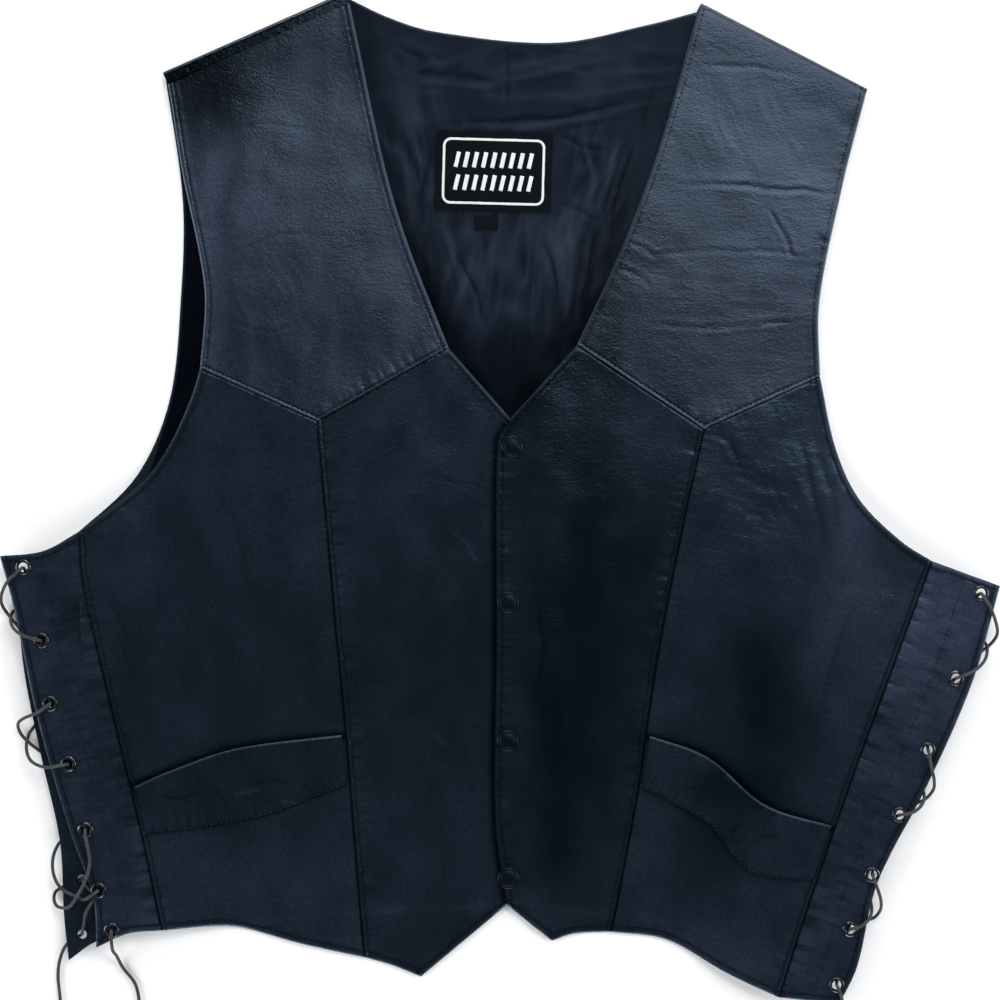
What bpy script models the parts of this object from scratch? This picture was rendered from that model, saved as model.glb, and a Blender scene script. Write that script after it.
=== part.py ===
"""Biker vest of dark leather with laced sides, laid flat on its back."""

import bpy
import bmesh
from math import cos, exp, pi, sin
from mathutils import Vector

# Tables and sizes are in millimetres: +X to the right, +Y towards the neck, +Z up from the surface it lies on
MM = 0.001

# Walls and clearances
LEATHER = 1.3
LINING = 1.0
CLEAR = 0.3
SEAM_HALF = 0.18

# Limits of the edge moves: the part of a grid step an edge may draw in, and the sharpest corner that is mitred
LARGEST_DRAW = 0.9
SHARPEST_CORNER = 0.4

# Middle of the back and of the fronts where they lie flat, and how far the laced sides lift them
BACK_REST = LEATHER / 2
BACK_RISE = 4.3
FRONT_REST = 3.9
FRONT_RISE = 8.35
LIFT_FULL = 56.0
LIFT_NONE = 130.0
LIFT_FADE_LOW = -20.0
LIFT_FADE_HIGH = 80.0

# How deep a fold may sink where the sides are lifted; in the middle the fronts already lie on the back
FOLD_ROOM = 2.0
FOLD_ROOM_LIFT = 0.8

# The shoulders: a round fold, and the stretch that the folded panel runs on to its seam
FOLD_RADIUS = 3.2
FOLD_STEPS = 4
FOLD_REACH = FOLD_RADIUS + LEATHER / 2
TAIL_LEFT = 5.5
TAIL_RIGHT = 2.5
SHOULDER_RISE = BACK_REST + 2 * FOLD_RADIUS - FRONT_REST
SHOULDER_NEAR = 6.0
SHOULDER_FAR = 70.0

# The right front laps over the left one
LAP_RISE = 1.9
LAP_FULL = 26.0
LAP_NONE = 60.0

# Front hems that reach past the back hem sink towards the surface
HEM_SINK = 2.4
HEM_SINK_START = 2.0
HEM_SINK_END = 16.0

# Insets of the lining from the edges of the back
LINING_AT_SHOULDER = 8.0
LINING_AT_NECK = 4.0
LINING_AT_ARMHOLE = 3.0
LINING_AT_SIDE = 44.0
LINING_SIDE_EASE = 1.6
LINING_EASE_LIFT = 0.25
LINING_AT_HEM = 15.0

# Pocket welts: how far the middle of the free upper edge stands off, and the set-in at both ends
WELT_GAPE = {"left": 1.6, "right": 3.0}
WELT_SET_IN = 3.0

# Hardware
EYELET_SIDES = 8
EYELET_HOLE = 4.1
EYELET_BARREL = 3.8
EYELET_BORE = 3.4
EYELET_FLANGE = 5.6
EYELET_FLANGE_THICK = 0.8
EYELET_RIM_SLOPE = 0.5
CUTTER_DEPTH = 4 * LEATHER
SNAP_SIDES = 12
SNAP_PROFILE = [(0.0, 2.4), (4.6, 2.2), (5.6, 1.7), (7.2, 1.5), (7.5, 0.9), (7.3, 0.0), (0.0, 0.0)]
SNAPS = [(8.4, 36.3), (5.8, -76.0), (5.3, -175.5), (6.0, -274.5)]

# Neck label and the small size tab below it: centre and size
LABEL_CENTRE = (-4.7, 234.5)
LABEL_SIZE = (84.0, 61.0)
TAB_CENTRE = (-10.0, 197.5)
TAB_SIZE = (17.0, 11.0)

# Lines across a side front, from top to bottom, where its grid is cut into bands
SECTIONS = ("underarm", "pocket_top", "pocket_bottom")

# Grid steps: across the panels, and down them between the sections that both sides of a seam share
STRIP_ACROSS = 5
SIDE_ACROSS = 7
NECK_ACROSS = 4
SEAM_ACROSS = 5
YOKE_DOWN = 9
ARMHOLE_DOWN = 5
CHEST_DOWN = 6
POCKET_DOWN = 2
BELOW_DOWN = 4
BACK_SHOULDER_ACROSS = 5
BACK_NECK_ACROSS = 8
BACK_ARMHOLE_DOWN = 12
BACK_SIDE_DOWN = 7
BACK_SIDE_COLUMN = 50.0

# Edges and seams of the fronts, (x, y): from the outer side inwards, or from top to bottom
FRONT_LINES = {
    "left": {
        "shoulder": [(-243, 306), (-112, 364)],
        "yoke_armhole": [(-240, 295), (-229, 234), (-216, 172), (-212.4, 141), (-216, 92)],
        "yoke_neck": [(-116, 347), (-84, 242), (-67, 184), (-37, 107)],
        "yoke_point": [(-131.8, 54)],
        "armhole": [(-216, 92), (-223, 70), (-240, 34), (-259, 9), (-302, -25)],
        "strip_top": [(-358.6, -42.5), (-328, -39), (-302, -25)],
        "side_edge": [(-358.6, -42.5), (-349, -78), (-332, -158), (-309.6, -236), (-291.6, -289),
                      (-289.4, -323)],
        "strip_hem": [(-289.4, -323), (-266.4, -313), (-242.6, -311)],
        "strip_seam": [(-302, -25), (-299, -62), (-277, -158), (-256.7, -243), (-242.6, -311)],
        "princess": [(-131.8, 54), (-120, -74), (-111, -171), (-108, -207), (-98, -332)],
        "underarm": [(-302, -25), (-122, -45)],
        "pocket_top": [(-264, -207), (-235, -196), (-189, -181), (-110, -172)],
        "pocket_bottom": [(-257, -239), (-177, -232), (-108, -211)],
        "side_hem": [(-242.6, -311), (-210, -309), (-189, -310), (-144, -322), (-98, -332)],
        "front_edge": [(24, 38), (24, -277)],
        "point_outer": [(-98, -332), (-77, -338), (-57, -346)],
        "point_inner": [(-57, -346), (-32, -325), (5, -294), (24, -277)],
    },
    "right": {
        "shoulder": [(265, 294), (145, 356)],
        "yoke_armhole": [(263, 290), (246, 221.5), (230, 141), (230.5, 86)],
        "yoke_neck": [(143, 352), (113.5, 248), (84.5, 172), (55.4, 109)],
        "yoke_point": [(146.5, 48)],
        "armhole": [(230.5, 86), (242, 34), (258.5, -2), (288, -32), (309.6, -46)],
        "strip_top": [(358.6, -64), (309.6, -46)],
        "side_edge": [(358.6, -64), (339, -132), (305.3, -209), (270.7, -276.5), (256, -337),
                      (243.4, -363.6)],
        "strip_hem": [(243.4, -363.6), (200, -359)],
        "strip_seam": [(309.6, -46), (278, -132), (251.3, -205), (224, -284), (200, -359)],
        "princess": [(146.5, 48), (128, -38), (113, -117), (105, -171), (100, -208), (80.4, -313.5)],
        "underarm": [(309.6, -46), (127, -45)],
        "pocket_top": [(238, -238), (190, -221), (149, -187), (106, -173)],
        "pocket_bottom": [(225, -277), (178, -269), (150.5, -236), (100, -208)],
        "side_hem": [(200, -359), (160.6, -341), (119.5, -319), (80.4, -313.5)],
        "front_edge": [(7, 56), (-2, 39), (-2.6, -102), (-3.5, -235), (5, -294)],
        "point_outer": [(80.4, -313.5), (53, -315), (37.4, -320)],
        "point_inner": [(37.4, -320), (5, -294)],
    },
}

# Edges of the back, (x, y): from left to right, or from top to bottom
BACK_LINES = {
    "neck": [(-110, 360), (-80, 346), (-47, 336), (40, 328), (107, 341), (142, 350)],
    "armhole_left": [(-241, 302), (-229, 214), (-230.5, 142), (-238.5, 70), (-261.5, 16), (-300, -22),
                     (-348, -60)],
    "side_left": [(-348, -60), (-343.4, -121), (-330.5, -187), (-317, -248), (-314, -302), (-310.6, -333.6)],
    "hem": [(-310.6, -333.6), (-290, -320), (-216, -301), (-108, -290), (7, -285), (108, -294), (187, -312),
            (243, -339)],
    "armhole_right": [(262, 288), (236, 205), (223, 120), (232, 50), (262, -18), (335, -74)],
    "side_right": [(335, -74), (305, -182), (266, -271), (243, -339)],
}

# The line that each laced side follows, (y, x)
SIDE_LINE = {
    "left": [(-333, -311), (-268, -313), (-197, -325), (-114, -343), (-42, -358)],
    "right": [(-363, 244), (-310, 260), (-251, 285), (-190, 312), (-132, 339), (-64, 358)],
}

# Broad swells of the fronts: centre x, y, radius x, y, height
SWELLS = [
    (-150, -60, 110, 170, 3.0),
    (150, -80, 100, 170, 3.4),
    (-160, 200, 70, 90, 2.0),
    (175, 200, 70, 90, 2.0),
]

# The largest folds of the fronts: start x, y, end x, y, half width, height
FOLDS = [
    (58, -40, 62, -280, 16, -2.6),
    (35, -60, 36, -270, 14, 2.2),
    (95, -60, 84, -260, 16, 2.2),
    (175, -110, 185, -190, 20, -3.0),
    (185, -190, 150, -270, 20, -3.0),
    (20, -300, 60, -312, 14, 1.5),
    (-305, -62, -306, -110, 10, -1.5),
]

# Broad swells of the lining inside the neck: centre x, y, radius x, y, height
LINING_SWELLS = [
    (88, 205, 22, 40, 1.2),
    (-78, 285, 24, 40, 1.2),
    (12, 145, 30, 22, 1.2),
]

# Eyelet centres, (x, y), from top to bottom
EYELETS = {
    "left": {
        "front": [(-342, -50.4), (-329, -103), (-322.6, -148.3), (-309.6, -191.5), (-297.4, -239),
                  (-288, -282.2), (-278.6, -311)],
        "back": [(-333.4, -72.7), (-331, -113), (-325.8, -153.4), (-317, -194), (-307.5, -235),
                 (-301, -275), (-301, -315)],
    },
    "right": {
        "front": [(345, -69), (327, -130), (307, -181.5), (286.6, -228), (267, -271), (251.3, -310),
                  (241.5, -350)],
        "back": [(317.5, -90), (306.5, -132), (294, -174), (275.5, -216), (259.5, -255), (245, -293),
                 (233.5, -326)],
    },
}

# How a lace passes an eyelet: side it leans to, distance from the centre, height.
# Through the front it runs from on top to inside, through the back from inside to underneath.
LACE_DIAMETER = 2.4
LACE_START = 8.6
LACE_STEP = 11.0
FRONT_PASS = [("first", 3.6, 15.7), ("first", 0.6, 14.0),
              ("last", 0.6, 11.7), ("last", 3.4, 9.7), ("last", 7.0, 9.9)]
BACK_PASS = [("first", 7.0, 7.3), ("first", 3.4, 7.5), ("first", 0.6, 5.5),
             ("last", 0.6, 3.2), ("last", 3.6, 1.6)]

# Where two runs cross inside, one bows to each side at its own height
INNER_BOW = {"rising": 3.0, "falling": -3.0}
INNER_LEVEL = {"rising": 7.2, "falling": 10.0}

# Loops of the laces around the side edges, and their free ends, (x, y, z)
LACE_LOOPS = {
    ("left", "rising"): [
        [(-353, -61, 15.2), (-359, -74, 8), (-355.5, -84, 2.2)],
        [(-331, -154.5, 15.5), (-341, -158.5, 13), (-346.5, -163, 8), (-346, -170.5, 2.4), (-338, -179, 1.6)],
        [(-293.8, -261, 15.5), (-296.6, -274, 15.5), (-302.4, -285, 15), (-309.6, -294.5, 11),
         (-318.5, -295, 6), (-321.8, -290, 3), (-320, -284, 1.8)],
    ],
    ("left", "falling"): [
        [(-348.5, -80.5, 2), (-351.8, -85, 7.5), (-349.5, -93, 13.5), (-342, -99, 15.6)],
        [(-335.5, -165, 1.8), (-339.3, -171, 6.5), (-339.8, -180.7, 12), (-336, -189, 14.8),
         (-326, -193.5, 15.5)],
        [(-314, -245, 1.6), (-319.5, -252, 3.5), (-322, -262, 7), (-320.5, -273, 8.5), (-315, -281.5, 9.5),
         (-303, -287.5, 11), (-297.5, -288.5, 14)],
    ],
    ("right", "rising"): [
        [(351, -79, 15.6), (355.5, -90, 13.5), (357.5, -99, 8), (353, -107, 2.6), (343, -114, 1.6)],
        [(308.5, -192, 15.6), (311, -202, 14.2), (311.5, -210.5, 8.5), (306, -218.5, 2.6), (297, -221.5, 1.6)],
        [(270.5, -281, 15.6), (273, -289, 13.5), (273.5, -297, 8), (269, -304, 2.6), (260, -304, 1.6)],
    ],
    ("right", "falling"): [
        [(335, -96, 1.6), (346, -102, 1.8), (350.5, -107.5, 6.5), (347.5, -117, 13.5), (339.5, -124.5, 15.6)],
        [(299.5, -198, 1.6), (303, -208, 5), (304.8, -214.5, 9.8), (302.5, -220.5, 13.6),
         (296.5, -225.5, 15.6)],
        [(263, -275, 1.6), (265, -286, 5), (267, -294, 9.5), (265.5, -301, 13.6), (260, -306.5, 15.6)],
    ],
}
LACE_TAILS = {
    ("left", "rising"): [(-278, -325, 12), (-276, -331, 5), (-272, -340, 1.6), (-263.5, -351, 1.6),
                         (-260.6, -362, 1.6), (-259, -380, 1.6), (-262, -412, 1.6)],
    ("left", "falling"): [(-312.5, -322.6, 1.6), (-316.8, -331, 1.6), (-319, -344, 1.6), (-317.5, -362, 1.6),
                          (-315, -400, 1.6), (-315.5, -412, 1.6)],
    ("right", "rising"): [(244.5, -358, 15.4), (246, -366, 14.6), (245, -371, 9), (238, -371.5, 3),
                          (226, -366, 1.6), (205, -352, 1.6)],
    ("right", "falling"): [(226, -325, 1.6), (222, -312, 1.6), (224, -300, 1.6)],
}

# Finishes: red, green, blue, roughness, metallic
FINISHES = {
    "leather": (0.010, 0.014, 0.024, 0.50, 0.0),
    "lining": (0.012, 0.012, 0.020, 0.45, 0.0),
    "label": (0.004, 0.004, 0.005, 0.80, 0.0),
    "eyelet": (0.060, 0.065, 0.075, 0.35, 1.0),
    "snap": (0.012, 0.014, 0.018, 0.30, 0.2),
    "lace": (0.035, 0.032, 0.032, 0.65, 0.0),
}


class Line:
    """A line through a few points, rounded between them, read by its share of length."""

    STEPS = 10

    def __init__(self, points):
        self.points = rounded([Vector(point) for point in points], self.STEPS)
        self.lengths = [0.0]
        for start, end in zip(self.points, self.points[1:]):
            self.lengths.append(self.lengths[-1] + (end - start).length)

    def at(self, share):
        wanted = share * self.lengths[-1]
        for index in range(1, len(self.points)):
            if wanted <= self.lengths[index] or index == len(self.points) - 1:
                step = self.lengths[index] - self.lengths[index - 1]
                part = (wanted - self.lengths[index - 1]) / step
                return self.points[index - 1].lerp(self.points[index], part)

    def share_near(self, point):
        target = Vector(point)
        nearest = min(range(len(self.points)), key=lambda index: (self.points[index] - target).length)
        return self.lengths[nearest] / self.lengths[-1]

    def read(self, steps, start=0.0, end=1.0):
        return [self.at(start + (end - start) * step / steps) for step in range(steps + 1)]

    def read_wide_ends(self, steps, end_width):
        margin = end_width / self.lengths[-1]
        return [self.at(0.0)] + self.read(steps - 2, margin, 1.0 - margin) + [self.at(1.0)]


def rounded(points, steps):
    """Points along a smooth curve through the given ones; two points give a straight run."""
    result = [points[0]]
    for index in range(len(points) - 1):
        p1, p2 = points[index], points[index + 1]
        p0 = points[index - 1] if index > 0 else 2 * p1 - p2
        p3 = points[index + 2] if index + 2 < len(points) else 2 * p2 - p1
        reach = (p2 - p1).length
        leave = (p2 - p0) * reach / ((p2 - p1).length + (p1 - p0).length)
        arrive = (p3 - p1) * reach / ((p3 - p2).length + (p2 - p1).length)
        for step in range(1, steps + 1):
            t = step / steps
            result.append((2 * t**3 - 3 * t**2 + 1) * p1 + (t**3 - 2 * t**2 + t) * leave
                          + (3 * t**2 - 2 * t**3) * p2 + (t**3 - t**2) * arrive)
    return result


def smoothstep(low, high, value):
    t = min(max((value - low) / (high - low), 0.0), 1.0)
    return t * t * (3 - 2 * t)


def read_table(table, key):
    """Straight interpolation in rows of (key, value), held at both ends."""
    if key <= table[0][0]:
        return table[0][1]
    for (low, start), (high, end) in zip(table, table[1:]):
        if key <= high:
            return start + (end - start) * (key - low) / (high - low)
    return table[-1][1]


def distance_to_run(x, y, x0, y0, x1, y1):
    run = Vector((x1 - x0, y1 - y0))
    offset = Vector((x - x0, y - y0))
    share = min(max(offset.dot(run) / run.length_squared, 0.0), 1.0)
    return (offset - run * share).length


def swell_height(swells, x, y):
    return sum(h * exp(-((x - cx) / rx) ** 2 - ((y - cy) / ry) ** 2) for cx, cy, rx, ry, h in swells)


def side_lift(x, y):
    """1 at the laced sides, 0 in the middle of the vest."""
    inside = x - read_table(SIDE_LINE["left"], y) if x < 0 else read_table(SIDE_LINE["right"], y) - x
    below_underarm = 1.0 - smoothstep(LIFT_FADE_LOW, LIFT_FADE_HIGH, y)
    return (1.0 - smoothstep(LIFT_FULL, LIFT_NONE, inside)) * below_underarm


def shoulder_distance(x, y):
    side = "left" if x < 0 else "right"
    (x0, y0), (x1, y1) = FRONT_LINES[side]["shoulder"]
    return distance_to_run(x, y, x0, y0, x1, y1)


def back_height(x, y):
    return BACK_REST + BACK_RISE * side_lift(x, y)


def front_height(x, y):
    """Middle of the front leather: flat in the middle, up at the sides and shoulders, with swells and folds."""
    lift = side_lift(x, y)
    from_shoulder = smoothstep(SHOULDER_NEAR, SHOULDER_FAR, shoulder_distance(x, y))
    swell = swell_height(SWELLS, x, y) * (1.0 - lift) * from_shoulder
    for x0, y0, x1, y1, half_width, height in FOLDS:
        swell += height * (1.0 - smoothstep(0.0, half_width, distance_to_run(x, y, x0, y0, x1, y1)))
    swell = max(swell, -FOLD_ROOM * smoothstep(FOLD_ROOM_LIFT, 1.0, lift))
    past_hem = read_table(BACK_LINES["hem"], x) - y
    sink = HEM_SINK * smoothstep(HEM_SINK_START, HEM_SINK_END, past_hem) * (1.0 - lift)
    return FRONT_REST + FRONT_RISE * lift + SHOULDER_RISE * (1.0 - from_shoulder) + swell - sink


def lapped_height(x, y):
    return front_height(x, y) + LAP_RISE * (1.0 - smoothstep(LAP_FULL, LAP_NONE, x))


def shoulder_frame(side):
    """Start of the shoulder fold, its direction and its outward normal."""
    start, end = (Vector(point) for point in FRONT_LINES[side]["shoulder"])
    along = (end - start).normalized()
    outward = Vector((-along.y, along.x))
    if outward.y < 0:
        outward = -outward
    return start, end, outward


def shoulder_line(side, set_in):
    start, end, outward = shoulder_frame(side)
    return [start - outward * set_in, end - outward * set_in]


def coons(top, bottom, outer, inner):
    """Rows of points that fill the space between four edges."""
    down = len(outer) - 1
    across = len(top) - 1
    rows = []
    for i in range(down + 1):
        v = i / down
        row = []
        for j in range(across + 1):
            u = j / across
            between = top[j] * (1 - v) + bottom[j] * v + outer[i] * (1 - u) + inner[i] * u
            corners = (top[0] * (1 - u) + top[-1] * u) * (1 - v) + (bottom[0] * (1 - u) + bottom[-1] * u) * v
            row.append(between - corners)
        rows.append(row)
    return rows


def stacked(*bands):
    rows = list(bands[0])
    for band in bands[1:]:
        rows += band[1:]
    return rows


def joined(*runs):
    points = list(runs[0])
    for run in runs[1:]:
        points += run[1:]
    return points


def from_left(rows):
    """The same rows, each running from left to right, so that the panel faces up."""
    middle = rows[len(rows) // 2]
    return rows if middle[0].x < middle[-1].x else [row[::-1] for row in rows]


def pulled_in(rows):
    """The panel with its edge points moved in by half a seam."""
    down = len(rows) - 1
    across = len(rows[0]) - 1
    ring = [(0, j) for j in range(across)]
    ring += [(i, across) for i in range(down)]
    ring += [(down, j) for j in range(across, 0, -1)]
    ring += [(i, 0) for i in range(down, 0, -1)]
    moved = [list(row) for row in rows]
    for index, (i, j) in enumerate(ring):
        here = rows[i][j]
        before = rows[ring[index - 1][0]][ring[index - 1][1]]
        after_cell = ring[(index + 1) % len(ring)]
        after = rows[after_cell[0]][after_cell[1]]
        arriving = (here - before).normalized()
        leaving = (after - here).normalized()
        inward = Vector((arriving.y + leaving.y, -arriving.x - leaving.x))
        moved[i][j] = here + inward * SEAM_HALF / max(1.0 + arriving.dot(leaving), SHARPEST_CORNER)
    return moved


def raised(rows, height):
    return [[Vector((point.x, point.y, height(point.x, point.y))) for point in row] for row in rows]


def finish(name):
    material = bpy.data.materials.get(name)
    if material is None:
        red, green, blue, roughness, metallic = FINISHES[name]
        material = bpy.data.materials.new(name)
        material.use_nodes = True
        shader = material.node_tree.nodes["Principled BSDF"]
        shader.inputs["Base Color"].default_value = (red, green, blue, 1.0)
        shader.inputs["Roughness"].default_value = roughness
        shader.inputs["Metallic"].default_value = metallic
    return material


def add_object(name, data, finish_name, collection):
    thing = bpy.data.objects.new(name, data)
    data.materials.append(finish(finish_name))
    collection.objects.link(thing)
    return thing


def sheet(name, rows, wall, finish_name, collection, fold=None):
    """A panel: an open grid with a wall. A fold, (side, columns, rises, tail), rolls its top edge over."""
    across = len(rows[0]) - 1
    down = len(rows) - 1
    bm = bmesh.new()
    bmesh.ops.create_grid(bm, x_segments=across, y_segments=down, size=1.0)
    top_edge = {}
    for vert in bm.verts:
        column = round((vert.co.x + 1.0) * across / 2)
        row = round((1.0 - vert.co.y) * down / 2)
        vert.co = rows[row][column] * MM
        if row == 0:
            top_edge[column] = vert
    if fold:
        side, columns, rises, tail = fold
        roll_over(bm, [top_edge[column] for column in columns], side, rises, tail)
    mesh = bpy.data.meshes.new(name)
    bm.to_mesh(mesh)
    bm.free()
    mesh.shade_smooth()
    panel = add_object(name, mesh, finish_name, collection)
    solid = panel.modifiers.new("wall", "SOLIDIFY")
    solid.thickness = wall * MM
    solid.offset = 0.0
    return panel


def roll_over(bm, verts, side, rises, tail):
    """The top edge is drawn out round the shoulder fold and along its tail."""
    start, end, outward = shoulder_frame(side)
    along = (end - start).normalized()
    base = start - outward * FOLD_REACH
    centre = BACK_REST + FOLD_RADIUS
    turn = 1.0 if rises else -1.0
    steps = []
    for step in range(1, FOLD_STEPS + 1):
        angle = pi * (step / FOLD_STEPS - 0.5)
        steps.append((FOLD_RADIUS * cos(angle), centre + turn * FOLD_RADIUS * sin(angle)))
    steps.append((-tail, steps[-1][1]))
    chosen = set(verts)
    edges = [edge for edge in bm.edges if edge.is_boundary and set(edge.verts) <= chosen]
    for out, height in steps:
        drawn = bmesh.ops.extrude_edge_only(bm, edges=edges)["geom"]
        edges = [item for item in drawn if isinstance(item, bmesh.types.BMEdge)]
        for vert in (item for item in drawn if isinstance(item, bmesh.types.BMVert)):
            share = (vert.co.xy / MM - base).dot(along)
            place = base + along * share + outward * out
            vert.co = Vector((place.x, place.y, height)) * MM


def punch(panel, centres, height, cutters):
    """Eyelet holes through a panel."""
    bm = bmesh.new()
    for x, y in centres:
        made = bmesh.ops.create_cone(bm, cap_ends=True, segments=EYELET_SIDES, radius1=EYELET_HOLE * MM,
                                     radius2=EYELET_HOLE * MM, depth=CUTTER_DEPTH * MM)
        bmesh.ops.translate(bm, verts=made["verts"], vec=Vector((x, y, height)) * MM)
    mesh = bpy.data.meshes.new(panel.name + "_holes")
    bm.to_mesh(mesh)
    bm.free()
    cutter = bpy.data.objects.new(mesh.name, mesh)
    cutter.hide_render = True
    cutter.display_type = "WIRE"
    cutters.objects.link(cutter)
    cut = panel.modifiers.new("eyelet holes", "BOOLEAN")
    cut.operation = "DIFFERENCE"
    cut.object = cutter


def turned_mesh(name, profile, closed):
    """The profile of a turned piece, (radius, height), down its outer side."""
    bm = bmesh.new()
    verts = [bm.verts.new(Vector((radius, 0.0, height)) * MM) for radius, height in profile]
    for start, end in zip(verts, verts[1:]):
        bm.edges.new((start, end))
    if closed:
        bm.edges.new((verts[-1], verts[0]))
    mesh = bpy.data.meshes.new(name)
    bm.to_mesh(mesh)
    bm.free()
    return mesh


def turned(name, mesh, sides, place, finish_name, collection):
    piece = bpy.data.objects.new(name, mesh)
    if not mesh.materials:
        mesh.materials.append(finish(finish_name))
    collection.objects.link(piece)
    piece.location = Vector(place) * MM
    screw = piece.modifiers.new("turn", "SCREW")
    screw.steps = sides
    screw.render_steps = sides
    screw.use_merge_vertices = True
    screw.merge_threshold = 0.00001
    return piece


def slab(name, centre, size, bottom, wall, finish_name, collection):
    bm = bmesh.new()
    bmesh.ops.create_cube(bm, size=1.0)
    bmesh.ops.scale(bm, verts=bm.verts, vec=Vector((size[0], size[1], wall)) * MM)
    bmesh.ops.translate(bm, verts=bm.verts, vec=Vector((centre[0], centre[1], bottom + wall / 2)) * MM)
    mesh = bpy.data.meshes.new(name)
    bm.to_mesh(mesh)
    bm.free()
    return add_object(name, mesh, finish_name, collection)


def build_back(collection, cutters):
    """The back with its lining: one grid, whose points serve both."""
    lines = {name: [Vector(point) for point in points] for name, points in BACK_LINES.items()}
    shoulder_left = shoulder_line("left", FOLD_REACH)
    shoulder_right = shoulder_line("right", FOLD_REACH + TAIL_RIGHT + CLEAR)[::-1]
    lines["neck"][0] = shoulder_left[1]
    lines["neck"][-1] = shoulder_right[0]
    lines["armhole_left"][0] = shoulder_left[0]
    lines["armhole_right"][0] = shoulder_right[1]
    across = 2 * BACK_SHOULDER_ACROSS + BACK_NECK_ACROSS
    top = joined(Line(shoulder_left).read(BACK_SHOULDER_ACROSS), Line(lines["neck"]).read(BACK_NECK_ACROSS),
                 Line(shoulder_right).read(BACK_SHOULDER_ACROSS))
    underarm = Line([lines["side_left"][0], lines["side_right"][0]]).read_wide_ends(across, BACK_SIDE_COLUMN)
    hem = Line(lines["hem"]).read_wide_ends(across, BACK_SIDE_COLUMN)
    upper = coons(top, underarm, Line(lines["armhole_left"]).read(BACK_ARMHOLE_DOWN),
                  Line(lines["armhole_right"]).read(BACK_ARMHOLE_DOWN))
    lower = coons(underarm, hem, Line(lines["side_left"]).read(BACK_SIDE_DOWN),
                  Line(lines["side_right"]).read(BACK_SIDE_DOWN))
    rows = raised(stacked(upper, lower), back_height)
    panel = sheet("back_panel", rows, LEATHER, "leather", collection,
                  fold=("left", range(BACK_SHOULDER_ACROSS + 1), True, TAIL_LEFT))
    holes = EYELETS["left"]["back"] + EYELETS["right"]["back"]
    punch(panel, holes, BACK_REST + BACK_RISE, cutters)
    build_lining(rows, collection)


def build_lining(back_rows, collection):
    """The lining repeats the grid of the back, drawn in from its edges along the grid's own lines."""
    rows = [[point.copy() for point in row] for row in back_rows]
    last = len(rows) - 1
    for row in rows:
        for edge, inner in ((0, 1), (-1, -2)):
            laced = side_lift(row[edge].x, row[edge].y)
            draw_in(row, edge, inner, LINING_AT_ARMHOLE + (LINING_AT_SIDE - LINING_AT_ARMHOLE) * laced)
    for column in range(len(rows[0])):
        on_neck = BACK_SHOULDER_ACROSS < column < BACK_SHOULDER_ACROSS + BACK_NECK_ACROSS
        inset = LINING_AT_NECK if on_neck else LINING_AT_SHOULDER
        line = [row[column] for row in rows]
        draw_in(line, 0, 1, inset)
        draw_in(line, last, last - 1, LINING_AT_HEM)
        rows[0][column] = line[0]
        rows[last][column] = line[last]
    step = (LEATHER + LINING) / 2 + CLEAR
    for row in rows:
        for point in row:
            ease = LINING_SIDE_EASE * smoothstep(0.0, LINING_EASE_LIFT, side_lift(point.x, point.y))
            point.z += step + ease + swell_height(LINING_SWELLS, point.x, point.y)
    sheet("back_lining", rows, LINING, "lining", collection)
    top = BACK_REST + step + LINING / 2 + CLEAR
    slab("neck_label", LABEL_CENTRE, LABEL_SIZE, top, LINING, "label", collection)
    slab("size_tab", TAB_CENTRE, TAB_SIZE, top, LINING, "label", collection)


def draw_in(points, edge, inner, inset):
    run = points[inner] - points[edge]
    points[edge] = points[edge] + run * min(inset / run.length, LARGEST_DRAW)


def build_yoke(side, lines, collection):
    folded = side == "right"
    set_in = FOLD_REACH if folded else FOLD_REACH + TAIL_LEFT + CLEAR - SEAM_HALF
    shoulder = shoulder_line(side, set_in)
    armhole = [shoulder[0]] + lines["yoke_armhole"][1:]
    neck = [shoulder[1]] + lines["yoke_neck"][1:]
    bottom = joined(Line([armhole[-1], lines["yoke_point"][0]]).read(SIDE_ACROSS),
                    Line([lines["yoke_point"][0], neck[-1]]).read(SEAM_ACROSS))
    across = SIDE_ACROSS + SEAM_ACROSS
    flat = coons(Line(shoulder).read(across), bottom, Line(armhole).read(YOKE_DOWN), Line(neck).read(YOKE_DOWN))
    rows = pulled_in(from_left(flat))
    if folded:
        rows[0] = from_left(flat)[0]
    fold = (side, range(across + 1), False, TAIL_RIGHT) if folded else None
    sheet("yoke_" + side, raised(rows, front_height), LEATHER, "leather", collection, fold)


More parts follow.
